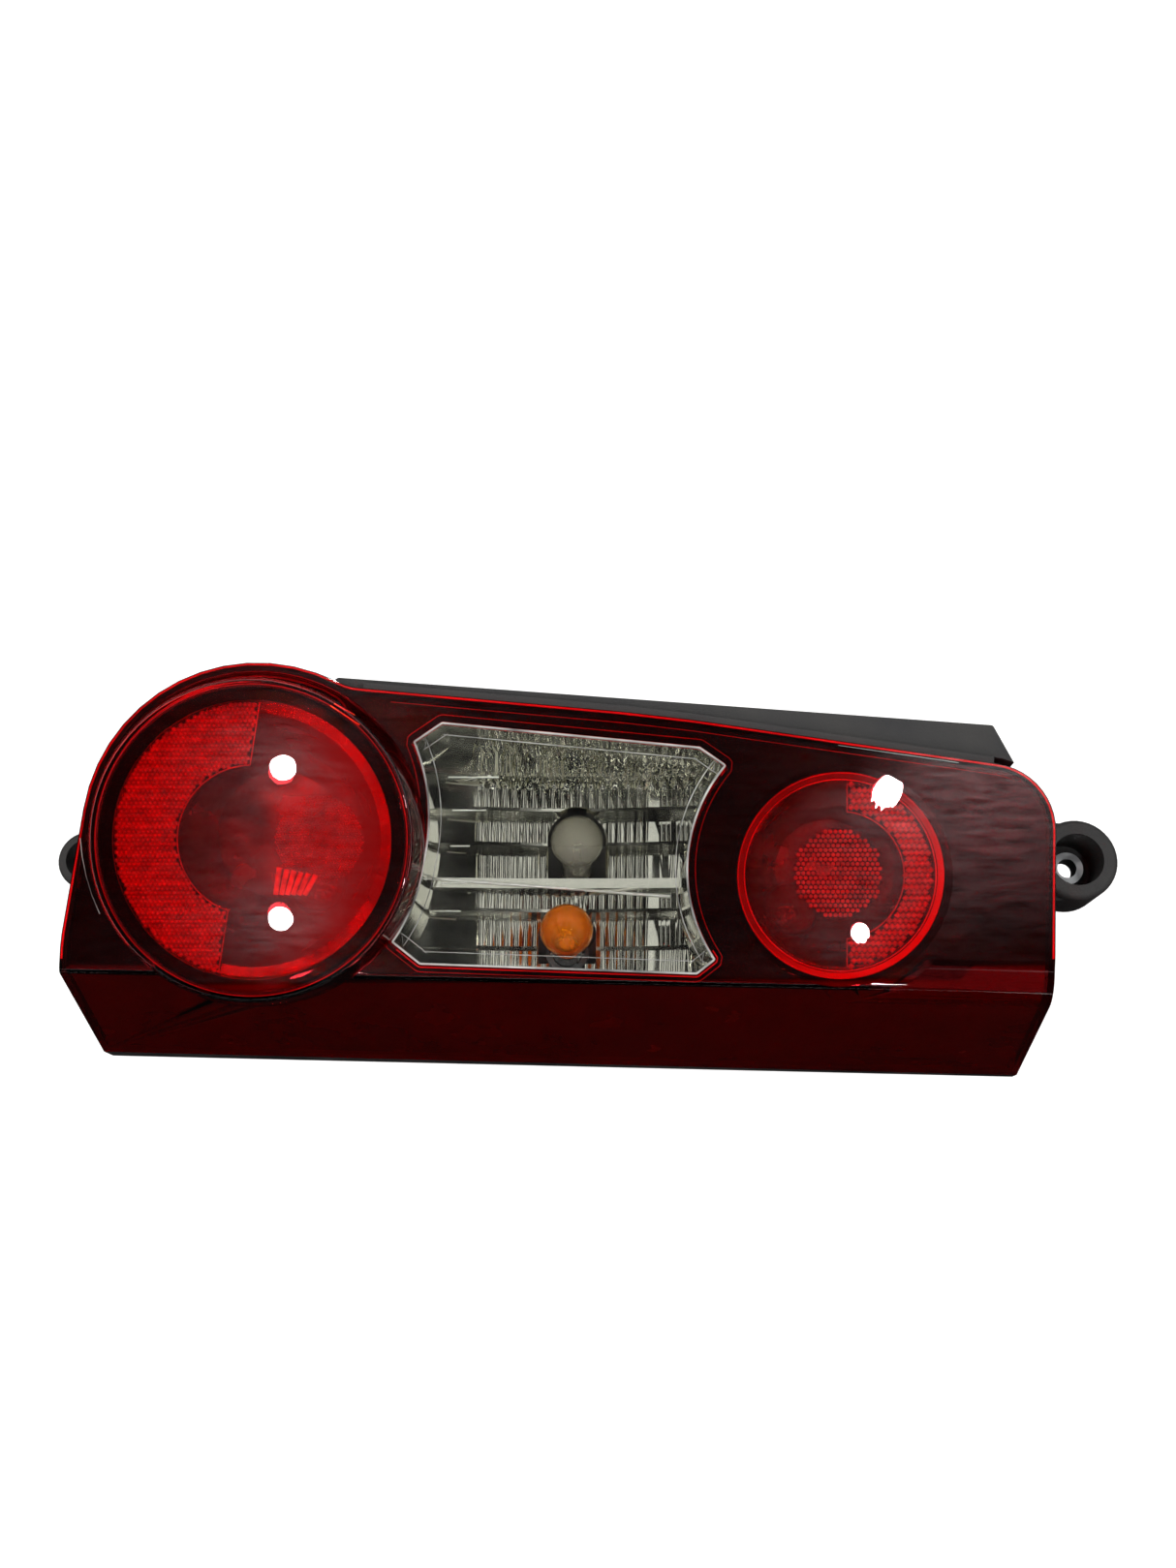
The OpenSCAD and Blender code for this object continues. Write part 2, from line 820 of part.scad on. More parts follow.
// Rounded bay outline, moved inward by d
module bay_plan(d) {
    p = [[-bay_left, -bay_low], [bay_right, -bay_low], [bay_right, bay_high], [-bay_left, bay_high]];
    polygon([for (i = [0 : 3]) each corner(p[(i + 3) % 4], p[i], p[(i + 1) % 4], 12, d)]);
}

module bay_prism(d, from, to) {
    translate([0, 0, from])
    linear_extrude(to - from)
    bay_plan(d);
}

roof_t = 2.5;
rib_w = 2;
rib_h = 3;
rear_rib_pitch = 48;
pocket_depth = 1.2;
bay_roof = bay_ledge + roof_t;
screw_inset = 12;
screw_places = [
    [-bay_left + screw_inset, -bay_low + screw_inset],
    [bay_right - screw_inset, -bay_low + screw_inset],
    [bay_right - screw_inset, bay_high - screw_inset],
    [-bay_left + screw_inset, bay_high - screw_inset]
];
boss_h = 10;
carrier_top = bay_ledge - seal_t;
carrier_low = carrier_top - carrier_t;
floor_z = gasket_t;
floor_t = 2.5;
vent_at = [-left_reach + 37.5, -62];

shoulder_left = large_u + 37.4;
shoulder_left_y = top_left + shoulder_left_up;
shoulder_right = right_reach - shoulder_right_in;
shoulder_depth = 24;
shoulder_points = [
    [shoulder_left - 6, shoulder_left_y - shoulder_depth],
    [shoulder_right + 4, shoulder_right_y - 2 * shoulder_depth],
    [shoulder_right + 14, shoulder_right_y - shoulder_depth],
    [shoulder_right, shoulder_right_y],
    [shoulder_left, shoulder_left_y],
    [shoulder_left - 9, shoulder_left_y - 6]
];

module shoulder_plan(d) {
    p = shoulder_points;
    n = len(p);
    polygon([for (i = [0 : n - 1]) each corner(p[(i + n - 1) % n], p[i], p[(i + 1) % n], 2, d)]);
}

// Shoulder band along the inboard edge, a hollow apron outside the lens
module shoulder() {
    difference() {
        intersection() {
            linear_extrude(deep)
            shoulder_plan(0);
            face_frame()
            translate([-wide / 2, -wide / 2, -shoulder_drop - shoulder_h])
            cube([wide, wide, shoulder_h]);
        }
        intersection() {
            translate([0, 0, -1])
            linear_extrude(deep + 2)
            shoulder_plan(housing_wall);
            face_frame()
            translate([-wide / 2, -wide / 2, -deep - shoulder_drop - housing_wall])
            cube([wide, wide, deep]);
        }
        intersection() {
            face_frame()
            translate([0, 0, -deep + 20])
            linear_extrude(deep)
            polygon(outline(-seat_fit));
            above_joint();
        }
        tub_prism(housing_wall - 1, -1, deep);
    }
}

module tub_prism(d, from, to) {
    translate([0, 0, from])
    linear_extrude(to - from)
    polygon(tub_outline(d));
}

// Plan of the web from an ear back to the housing wall
module web_plan(x, r, wall_x) {
    polygon([[x, r - ear_y], [wall_x, r - ear_y + 3], [wall_x, -r - ear_y], [x, -r - ear_y]]);
}

// Boss with a rounded rim, turned about its own axis
module ear_boss(r) {
    rotate_extrude()
    polygon(concat(
        [[0, 0], [r, 0]],
        [for (a = [0 : 15 : 90]) [r - ear_round, ear_h - ear_round] + ear_round * dir(a)],
        [[0, ear_h]]
    ));
}

// Cupped ear with its web and two ribs under the web
module ear(x, r, wall_x, cup_r_in) {
    low = ear_top - ear_h;
    difference() {
        union() {
            translate([x, -ear_y, low])
            ear_boss(r);
            translate([0, 0, low + ear_floor])
            linear_extrude(ear_h - ear_floor - web_drop)
            web_plan(x, r - 1, wall_x);
            for (side = [-1, 1])
                translate([min(x, wall_x), side * (r - rib_w) - ear_y - rib_w / 2, low])
                cube([abs(wall_x - x), rib_w, ear_floor + 1]);
        }
        translate([x, -ear_y, low + ear_floor])
        cylinder(r = cup_r_in, h = ear_h);
        translate([x, -ear_y, low - 1])
        cylinder(d = sleeve_od, h = ear_h);
    }
}

right_wall_x = right_reach - 2;
left_wall_x = -left_reach + 8;
right_ear_x = right_reach + right_ear_out;
left_ear_x = left_reach + left_ear_out;

// Low ribs on the rear face, between the bay and the gasket
module rear_ribs() {
    intersection() {
        difference() {
            tub_prism(housing_wall + 1.5 + gasket_w + 1, 0, floor_z + 1);
            bay_prism(0, -1, floor_z + 2);
            translate([vent_at.x, vent_at.y, -1])
            cylinder(r = 11, h = floor_z + 3);
        }
        union() {
            for (i = [-4 : 3])
                translate([i * rear_rib_pitch, -rim_y, 0.6])
                cube([rib_w, 2 * rim_y, floor_z]);
            translate([-left_reach, -ear_y, 0.6])
            cube([left_reach + right_reach, rib_w, floor_z]);
        }
    }
}

module housing() {
    color("#1b1c1d")
    centred() {
        difference() {
            union() {
                intersection() {
                    tub_prism(0, 0, deep);
                    below_joint();
                }
                shoulder();
            }
            difference() {
                tub_prism(housing_wall, -1, deep);
                above_joint(-housing_wall);
                tub_prism(housing_wall - 1, floor_z, floor_z + floor_t);
            }
            tub_prism(flange_w, floor_z + floor_t, deep);
            bay_prism(roof_t, -1, bay_ledge);
            translate([vent_at.x, vent_at.y, 0])
            cylinder(r = 3.2, h = 20);
        }
        difference() {
            union() {
                bay_prism(0, floor_z, bay_roof);
                for (p = screw_places)
                    translate([p.x, p.y, bay_ledge])
                    cylinder(r = 5, h = boss_h);
            }
            bay_prism(roof_t, -1, bay_ledge);
            bay_prism(ledge_w + 2, 0, deep);
            for (p = screw_places)
                translate([p.x, p.y, 0])
                cylinder(d = screw_d + 0.2, h = bay_ledge + boss_h - 1.5);
        }
        rear_ribs();
        ear(right_ear_x, right_ear_r, right_wall_x, right_cup_r);
        ear(-left_ear_x, left_ear_r, left_wall_x, left_cup_r);
    }
}

// Frame of a bulb: its origin is the glass centre, and its +Z goes out through the head
module bulb_frame(at, lean) {
    translate([at.x, at.y, glass_z])
    rotate([-lean, 0, 0])
    children();
}

cap_low = glass_r - bulb_len;
cap_play = 0.4;
pin_low = 5;

// Cup that grows out of the carrier plate towards its bulb
module bulb_cup(at, lean) {
    intersection() {
        bulb_frame(at, lean)
        translate([0, 0, cap_low + cup_grip - deep])
        cylinder(r = cup_r, h = deep);
        translate([-wide / 2, -wide / 2, carrier_top - 1])
        cube([wide, wide, deep]);
    }
}

// Bore and bayonet slot of a cup
module cup_bore(at, lean) {
    bulb_frame(at, lean)
    translate([0, 0, cap_low]) {
        cylinder(r = cap_r + cap_play, h = bulb_len);
        translate([-cap_r - pin_reach - cap_play, -pin_r - cap_play, pin_low - pin_r - cap_play])
        cube([2 * (cap_r + pin_reach + cap_play), 2 * (pin_r + cap_play), cup_grip]);
    }
}

// Two long stiffening ribs on the carrier's rear
module carrier_ribs() {
    inset = roof_t + carrier_play + 22;
    for (y = [-bay_low + 4.5, bay_high - 4.5 - rib_w])
        translate([-bay_left + inset, y, carrier_low - rib_h])
        cube([bay_left + bay_right - 2 * inset, rib_w, rib_h + 1]);
}

// Lightening pocket in the carrier between the stop and reversing bulbs
module carrier_pocket() {
    for (x = [stop_at.x + 24, stop_at.x + 56])
        translate([x, stop_at.y - 22, carrier_top - pocket_depth])
        cube([26, 40, pocket_depth + 1]);
}

module bulb_carrier() {
    color("#2b2d2f")
    centred()
    difference() {
        union() {
            bay_prism(roof_t + carrier_play, carrier_low, carrier_top);
            bulb_cup(stop_at, 0);
            bulb_cup(reverse_at, reverse_lean);
            bulb_cup(indicator_at, indicator_lean);
            bulb_cup(fog_at, 0);
            carrier_ribs();
        }
        cup_bore(stop_at, 0);
        cup_bore(reverse_at, reverse_lean);
        cup_bore(indicator_at, indicator_lean);
        cup_bore(fog_at, 0);
        carrier_pocket();
        for (p = screw_places)
            translate([p.x, p.y, 0])
            cylinder(d = screw_d + 1, h = deep);
    }
}

module carrier_seal() {
    color("#0d0d0d")
    centred()
    difference() {
        bay_prism(roof_t + 1.5, carrier_top, bay_ledge);
        bay_prism(roof_t + 5, 0, deep);
    }
}

module carrier_screws() {
    color("#8d9296")
    centred()
    for (p = screw_places)
        translate([p.x, p.y, carrier_low - 2.4]) {
            difference() {
                cylinder(r = 4, h = 2.4);
                for (a = [0, 90])
                    rotate([0, 0, a])
                    translate([-2.2, -0.5, -1])
                    cube([4.4, 1, 2.2]);
            }
            cylinder(d = screw_d, h = 14);
        }
}

strip_w = 5;
strip_t = 0.8;

// Plan place of a bulb's cap, where its lean has taken it
function cap_at(at, lean) = at + [0, cap_low * sin(lean)];

module strip(a, b) {
    translate([min(a.x, b.x) - strip_w / 2, min(a.y, b.y) - strip_w / 2, carrier_low - strip_t])
    cube([abs(a.x - b.x) + strip_w, abs(a.y - b.y) + strip_w, strip_t]);
}

plug_at = [60, -20];
plug_size = [36, 20];
plug_h = 15;
plug_wall = 2;
key_w = 3;
pin_pitch = 5.5;
latch_w = 8;
latch_out = 1.8;

module contact_strips() {
    amber = cap_at(indicator_at, indicator_lean);
    white = cap_at(reverse_at, reverse_lean);
    color("#b98a3a")
    centred() {
        strip([stop_at.x, stop_at.y - 8], [plug_at.x - 26, stop_at.y - 8]);
        strip(amber, [amber.x, stop_at.y - 16]);
        strip(amber, [plug_at.x - 26, amber.y]);
        strip(white, [plug_at.x - 26, white.y]);
        strip([plug_at.x, fog_at.y], fog_at);
    }
}

// Inlet with two keyways and a ramp for the plug's latch
module connector_shroud() {
    color("#17181a")
    centred() {
        translate([plug_at.x, plug_at.y, carrier_low - plug_h])
        difference() {
            translate([-plug_size.x / 2, -plug_size.y / 2, 0])
            cube([plug_size.x, plug_size.y, plug_h]);
            translate([-plug_size.x / 2 + plug_wall, -plug_size.y / 2 + plug_wall, -1])
            cube([plug_size.x - 2 * plug_wall, plug_size.y - 2 * plug_wall, plug_h - plug_wall + 1]);
            for (side = [-1, 1])
                translate([side * plug_size.x / 4 - key_w / 2, plug_size.y / 2 - plug_wall - 1, -1])
                cube([key_w, plug_wall + 2, plug_h / 2]);
        }
        translate([plug_at.x - latch_w / 2, plug_at.y - plug_size.y / 2, carrier_low - plug_h + 3])
        rotate([90, 0, 90])
        linear_extrude(latch_w)
        polygon([[0.5, 0], [0, 0], [-latch_out, 4], [-latch_out, 5], [0, 5], [0.5, 5]]);
    }
}

module connector_pins() {
    color("#c8a04a")
    centred()
    translate([plug_at.x, plug_at.y, carrier_low - plug_h + 3])
    for (i = [-2 : 2])
        translate([i * pin_pitch - 0.4, -1.4, 0])
        cube([0.8, 2.8, plug_h - plug_wall - 3]);
}

// Hollow glass with a domed head and a neck that goes down into the cap
module bulb_glass(at, lean, tint) {
    neck_r = cap_r - 0.8;
    neck_z = cap_low + cap_len - 3;
    function skin(t) = concat(
        [[neck_r - t, neck_z], [neck_r - t, neck_z + 5]],
        [for (a = [-48 : 6 : 84]) (glass_r - t) * dir(a)],
        [[0, glass_r - t]]
    );
    outside = skin(0);
    inside = skin(glass_wall);
    n = len(inside);
    color(tint)
    centred()
    bulb_frame(at, lean)
    rotate_extrude()
    polygon(concat(outside, [for (i = [n - 1 : -1 : 0]) inside[i]]));
}

// Cap with two bayonet pins
module bulb_cap(at, lean) {
    color("#b9bcbe")
    centred()
    bulb_frame(at, lean)
    translate([0, 0, cap_low])
    difference() {
        union() {
            cylinder(r = cap_r, h = cap_len);
            translate([-cap_r - pin_reach, 0, pin_low])
            rotate([0, 90, 0])
            cylinder(r = pin_r, h = 2 * (cap_r + pin_reach));
        }
        translate([0, 0, 4])
        cylinder(r = cap_r - 0.8, h = cap_len);
    }
}

// Glass stem, support wires and filament
module bulb_mount(at, lean) {
    color("#d8d8d4")
    centred()
    bulb_frame(at, lean)
    translate([0, 0, cap_low + 4]) {
        cylinder(r = 4, h = 16);
        for (a = [45 : 90 : 315])
            rotate([0, 0, a])
            translate([2.6, 0, 15])
            cylinder(r = 0.45, h = 17);
        for (s = [-1, 1])
            translate([0, s * 1.84, 31])
            rotate([0, 90, 0])
            translate([0, 0, -2.4])
            cylinder(r = 0.5, h = 4.8);
    }
}

module sleeve(x) {
    color("#8a8f93")
    centred()
    translate([x, -ear_y, ear_top - ear_h])
    difference() {
        cylinder(d = sleeve_od, h = sleeve_len);
        translate([0, 0, -1])
        cylinder(d = sleeve_bore, h = sleeve_len + 2);
    }
}

module body_gasket() {
    color("#0f0f10")
    centred()
    difference() {
        tub_prism(housing_wall + 1.5, 0, gasket_t);
        tub_prism(housing_wall + 1.5 + gasket_w, -1, gasket_t + 1);
    }
}

module vent_cap() {
    color("#26282a")
    centred()
    translate([vent_at.x, vent_at.y, 0]) {
        translate([0, 0, floor_z - 2])
        cylinder(r = 8, h = 2);
        translate([0, 0, floor_z - 1])
        cylinder(r = 3, h = 6);
    }
}

housing();
outer_lens();
window_lens();
mask();
large_inner_lens();
small_inner_lens();
large_reflector();
small_reflector();
window_reflector();
bulb_carrier();
carrier_seal();
carrier_screws();
contact_strips();
connector_shroud();
connector_pins();
bulb_glass(stop_at, 0, "#e8ecee");  // stop_bulb_glass
bulb_cap(stop_at, 0);  // stop_bulb_cap
bulb_mount(stop_at, 0);  // stop_bulb_mount
bulb_glass(reverse_at, reverse_lean, "#e8ecee");  // reverse_bulb_glass
bulb_cap(reverse_at, reverse_lean);  // reverse_bulb_cap
bulb_mount(reverse_at, reverse_lean);  // reverse_bulb_mount
bulb_glass(indicator_at, indicator_lean, "#e08a10");  // indicator_bulb_glass
bulb_cap(indicator_at, indicator_lean);  // indicator_bulb_cap
bulb_mount(indicator_at, indicator_lean);  // indicator_bulb_mount
bulb_glass(fog_at, 0, "#e8ecee");  // fog_bulb_glass
bulb_cap(fog_at, 0);  // fog_bulb_cap
bulb_mount(fog_at, 0);  // fog_bulb_mount
sleeve(-left_ear_x);  // sleeve_left
sleeve(right_ear_x);  // sleeve_right
body_gasket();
vent_cap();
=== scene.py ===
# %% [markdown]
# # A rear lamp cluster, from the moulded lens to the light on it
#
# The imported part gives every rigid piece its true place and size. This lesson dresses it:
# it gives the mouldings their plastics, adds the optics and edges that carry the look,
# and sets the lamp under a soft studio light, seen squarely from the front.

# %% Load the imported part
import math

import bmesh
import bpy
from mathutils import Matrix, Vector


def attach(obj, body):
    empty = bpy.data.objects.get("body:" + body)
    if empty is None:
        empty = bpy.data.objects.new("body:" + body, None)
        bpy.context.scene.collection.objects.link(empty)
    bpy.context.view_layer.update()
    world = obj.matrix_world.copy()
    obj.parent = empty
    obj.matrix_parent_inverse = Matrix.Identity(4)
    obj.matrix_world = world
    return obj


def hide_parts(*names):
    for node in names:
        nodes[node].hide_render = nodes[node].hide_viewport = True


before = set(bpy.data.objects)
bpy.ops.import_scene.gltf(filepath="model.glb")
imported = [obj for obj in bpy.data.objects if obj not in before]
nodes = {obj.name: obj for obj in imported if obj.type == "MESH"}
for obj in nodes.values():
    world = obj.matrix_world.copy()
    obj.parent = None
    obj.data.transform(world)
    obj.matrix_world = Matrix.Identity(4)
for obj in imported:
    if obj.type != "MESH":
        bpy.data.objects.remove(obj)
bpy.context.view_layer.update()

print("nodes from the packed part:", len(nodes))

# %% [markdown]
# The flat front face of the lens isn't square to the car's rear seat. It leans by 15 degrees,
# so every round light and every optic is easier to place in a frame of its own, with u along
# the lamp, v up the face and w straight out of it.

# %% The face frame
MM = 0.001
TILT = math.radians(15)
FACE = Matrix.Translation((0, 0.03342, 0.140)) @ Matrix.Rotation(TILT, 4, "X")
LARGE = Vector((-156.4, -26, 0)) * MM
SMALL = Vector((120, -43.5, 0)) * MM


def on_face(u, v, w):
    """A point of the row frame from face millimetres."""
    return FACE @ Vector((u * MM, v * MM, w * MM))


print("face origin", [round(c, 4) for c in on_face(0, 0, 0)])

# %% [markdown]
# Most of these materials share the same skeleton: one Principled shader, and some noise that
# breaks up its colour, its roughness and its relief. A few short helpers keep that readable.

# %% Material helpers


def material(name, **values):
    """A new material with one Principled shader, and constants set on its sockets."""
    mat = bpy.data.materials.new(name)
    mat.use_nodes = True
    shader = mat.node_tree.nodes["Principled BSDF"]
    for key, value in values.items():
        socket = shader.inputs[key.replace("_", " ")]
        socket.default_value = (*value, 1) if isinstance(value, tuple) else value
    return mat, shader


def add(mat, kind, **values):
    """A new node in a material; values go to its sockets by name or, for a property, by attribute."""
    node = mat.node_tree.nodes.new(kind)
    for key, value in values.items():
        if hasattr(node, key):
            setattr(node, key, value)
        else:
            node.inputs[key.replace("_", " ")].default_value = value
    return node


def link(mat, out, into):
    mat.node_tree.links.new(out, into)


def coords(mat, turn=0.0, scale=(1, 1, 1)):
    """Object coordinates, turned into the face frame where asked."""
    source = add(mat, "ShaderNodeTexCoord").outputs["Object"]
    mapping = add(mat, "ShaderNodeMapping")
    mapping.inputs["Rotation"].default_value = (turn, 0, 0)
    mapping.inputs["Scale"].default_value = scale
    link(mat, source, mapping.inputs["Vector"])
    return mapping.outputs["Vector"]


def face_coords(mat, centre=(0, 0)):
    """Face millimetres as a texture vector, measured from a centre on the face."""
    back = FACE.inverted()
    origin = back.to_translation() / MM - Vector((*centre, 0))
    mapping = add(mat, "ShaderNodeMapping")
    mapping.inputs["Scale"].default_value = (1 / MM, 1 / MM, 1 / MM)
    mapping.inputs["Rotation"].default_value = (-TILT, 0, 0)
    mapping.inputs["Location"].default_value = origin
    link(mat, add(mat, "ShaderNodeTexCoord").outputs["Object"], mapping.inputs["Vector"])
    return mapping.outputs["Vector"]


def maths(mat, operation, a, b=0.0):
    """One Math node; a and b are numbers or sockets."""
    node = add(mat, "ShaderNodeMath")
    node.operation = operation
    for socket, value in zip(node.inputs, (a, b)):
        if isinstance(value, (int, float)):
            socket.default_value = value
        else:
            link(mat, value, socket)
    return node.outputs[0]


def split(mat, vector):
    node = add(mat, "ShaderNodeSeparateXYZ")
    link(mat, vector, node.inputs[0])
    return node.outputs


def step(mat, value, low, high):
    """0 below low, 1 above high, and a smooth rise between; it works downwards too."""
    node = add(mat, "ShaderNodeMapRange")
    node.interpolation_type = "SMOOTHSTEP"
    node.inputs["From Min"].default_value = low
    node.inputs["From Max"].default_value = high
    link(mat, value, node.inputs["Value"])
    return node.outputs["Result"]


def blend_colour(mat, fac, a, b):
    """A mix of two colours; each is a socket or a plain colour."""
    node = add(mat, "ShaderNodeMix")
    node.data_type = "RGBA"
    link(mat, fac, node.inputs["Factor"])
    for socket, value in ((node.inputs[6], a), (node.inputs[7], b)):
        if isinstance(value, tuple):
            socket.default_value = (*value, 1)
        else:
            link(mat, value, socket)
    return node.outputs[2]


def noise(mat, vector, scale, detail=3.0, rough=0.55):
    node = add(mat, "ShaderNodeTexNoise")
    node.inputs["Scale"].default_value = scale
    node.inputs["Detail"].default_value = detail
    node.inputs["Roughness"].default_value = rough
    link(mat, vector, node.inputs["Vector"])
    return node.outputs["Fac"]


def ramp(mat, fac, *stops):
    """A colour ramp; each stop is (place, value or colour)."""
    node = add(mat, "ShaderNodeValToRGB")
    while len(node.color_ramp.elements) < len(stops):
        node.color_ramp.elements.new(0.5)
    for element, (place, colour) in zip(node.color_ramp.elements, stops):
        element.position = place
        element.color = (*colour, 1) if isinstance(colour, tuple) else (colour, colour, colour, 1)
    link(mat, fac, node.inputs["Fac"])
    return node.outputs["Color"]


def bump(mat, height, distance, strength=1.0):
    node = add(mat, "ShaderNodeBump")
    node.inputs["Distance"].default_value = distance
    node.inputs["Strength"].default_value = strength
    link(mat, height, node.inputs["Height"])
    return node.outputs["Normal"]


# %% [markdown]
# Handling leaves every moulding a little uneven: its gloss and its colour drift in soft patches,
# and its skin carries a fine grain. Many materials share these two effects, so each is a node
# group with named sockets, and a material only sets its own numbers on it.

# %% Two shared effects


def socket(group, name, kind, into="INPUT", value=None):
    made = group.interface.new_socket(name=name, in_out=into, socket_type="NodeSocket" + kind)
    if value is not None:
        made.default_value = value


def patchy_group():
    """Soft patches of noise that move roughness and colour between two ends."""
    group = bpy.data.node_groups.new("patchy_wear", "ShaderNodeTree")
    socket(group, "Scale", "Float", value=60.0)
    socket(group, "Low", "Float", value=0.3)
    socket(group, "High", "Float", value=0.5)
    socket(group, "First Colour", "Color")
    socket(group, "Second Colour", "Color")
    socket(group, "Roughness", "Float", "OUTPUT")
    socket(group, "Colour", "Color", "OUTPUT")
    nodes_, join = group.nodes, group.links.new
    given, given_out = nodes_.new("NodeGroupInput"), nodes_.new("NodeGroupOutput")
    spots = nodes_.new("ShaderNodeTexNoise")
    spots.inputs["Detail"].default_value = 3.0
    join(nodes_.new("ShaderNodeTexCoord").outputs["Object"], spots.inputs["Vector"])
    join(given.outputs["Scale"], spots.inputs["Scale"])
    level = nodes_.new("ShaderNodeMapRange")
    level.inputs["From Min"].default_value = 0.35
    level.inputs["From Max"].default_value = 0.7
    join(spots.outputs["Fac"], level.inputs["Value"])
    join(given.outputs["Low"], level.inputs["To Min"])
    join(given.outputs["High"], level.inputs["To Max"])
    drift = nodes_.new("ShaderNodeMapRange")
    drift.inputs["From Min"].default_value = 0.3
    drift.inputs["From Max"].default_value = 0.75
    join(spots.outputs["Fac"], drift.inputs["Value"])
    mix = nodes_.new("ShaderNodeMix")
    mix.data_type = "RGBA"
    join(drift.outputs["Result"], mix.inputs["Factor"])
    join(given.outputs["First Colour"], mix.inputs[6])
    join(given.outputs["Second Colour"], mix.inputs[7])
    join(level.outputs["Result"], given_out.inputs["Roughness"])
    join(mix.outputs[2], given_out.inputs["Colour"])
    return group


def grain_group():
    """A fine noise relief of the skin."""
    group = bpy.data.node_groups.new("fine_grain", "ShaderNodeTree")
    socket(group, "Scale", "Float", value=400.0)
    socket(group, "Depth", "Float", value=0.0003)
    socket(group, "Strength", "Float", value=0.5)
    socket(group, "Normal", "Vector", "OUTPUT")
    nodes_, join = group.nodes, group.links.new
    given, given_out = nodes_.new("NodeGroupInput"), nodes_.new("NodeGroupOutput")
    pits = nodes_.new("ShaderNodeTexNoise")
    relief = nodes_.new("ShaderNodeBump")
    join(nodes_.new("ShaderNodeTexCoord").outputs["Object"], pits.inputs["Vector"])
    join(given.outputs["Scale"], pits.inputs["Scale"])
    join(pits.outputs["Fac"], relief.inputs["Height"])
    join(given.outputs["Depth"], relief.inputs["Distance"])
    join(given.outputs["Strength"], relief.inputs["Strength"])
    join(relief.outputs["Normal"], given_out.inputs["Normal"])
    return group


PATCHY, GRAIN = patchy_group(), grain_group()


def wear(mat, shader, low, high, scale=60, colour=None):
    """Roughness from low to high in soft patches, and a slight drift of colour."""
    node = add(mat, "ShaderNodeGroup", node_tree=PATCHY, Scale=scale, Low=low, High=high)
    link(mat, node.outputs["Roughness"], shader.inputs["Roughness"])
    if colour:
        node.inputs["First Colour"].default_value = (*colour[0], 1)
        node.inputs["Second Colour"].default_value = (*colour[1], 1)
        link(mat, node.outputs["Colour"], shader.inputs["Base Color"])


def skin(mat, shader, scale, depth, strength):
    node = add(mat, "ShaderNodeGroup", node_tree=GRAIN, Scale=scale, Depth=depth, Strength=strength)
    link(mat, node.outputs["Normal"], shader.inputs["Normal"])


print("shared effects:", PATCHY.name, GRAIN.name)

# %% [markdown]
# The lens is red acrylic, moulded in one shot with the clear window. Light crosses it twice:
# once on the way in and once on the way out, so a moderate red becomes a very pure one behind it.
# A shader that lets shadow rays through, tinted, lights the inside without grain.

# %% Clear plastics and glass


def see_through(name, tint, ior=1.49, low=0.0, high=0.02, haze=0.0, ripple=0.5, milk=0.0):
    """A polished clear plastic; shadow rays pass it with the same tint, and fine scratches haze it."""
    mat, shader = material(name, Base_Color=tint, Transmission_Weight=1.0 - milk, IOR=ior)
    v = coords(mat)
    link(mat, ramp(mat, noise(mat, v, 35), (0.45, low), (0.8, high)), shader.inputs["Roughness"])
    skin(mat, shader, 18, 0.00025, ripple)
    if haze:
        # Fine scratches scatter the room's light, most at the outboard end of the flat face
        shader.inputs["Coat Roughness"].default_value = 0.3
        streaks = noise(mat, coords(mat, -TILT, (1.0, 6.0, 1.0)), 60, 6, 0.75)
        face = split(mat, face_coords(mat))
        worn = maths(mat, "MULTIPLY", step(mat, face[0], 120, 185), step(mat, face[1], -84, -16))
        for centre, r in ((LARGE, 68), (SMALL, 48)):
            aside = [maths(mat, "SUBTRACT", face[i], centre[i] / MM) for i in (0, 1)]
            squares = maths(mat, "ADD", *[maths(mat, "POWER", maths(mat, "ABSOLUTE", a), 2) for a in aside])
            dome = step(mat, maths(mat, "SQRT", squares), r, 0.7 * r)
            worn = maths(mat, "ADD", worn, maths(mat, "MULTIPLY", dome, 3 * haze))
        worn = maths(mat, "ADD", worn, haze)
        worn = maths(mat, "MULTIPLY", worn, step(mat, face[1], -93, -90))
        link(mat, maths(mat, "MULTIPLY", ramp(mat, streaks, (0.35, 0.15), (0.7, 1.0)), worn), shader.inputs["Coat Weight"])
    path = add(mat, "ShaderNodeLightPath")
    shadow = add(mat, "ShaderNodeBsdfTransparent")
    shadow.inputs["Color"].default_value = (*[c ** 0.5 for c in tint], 1)
    mix = add(mat, "ShaderNodeMixShader")
    link(mat, path.outputs["Is Shadow Ray"], mix.inputs[0])
    link(mat, shader.outputs["BSDF"], mix.inputs[1])
    link(mat, shadow.outputs["BSDF"], mix.inputs[2])
    link(mat, mix.outputs["Shader"], mat.node_tree.nodes["Material Output"].inputs["Surface"])
    return mat


red_lens = see_through("red_lens", (0.80, 0.035, 0.045), haze=0.1)
clear_lens = see_through("clear_lens", (0.95, 0.96, 0.95), haze=0.1, ripple=0.2)
PAINTED_GLOW = (0.12, 0.004, 0.004)
red_optic = see_through("red_optic", (0.72, 0.06, 0.07), low=0.02, high=0.08, milk=0.02)
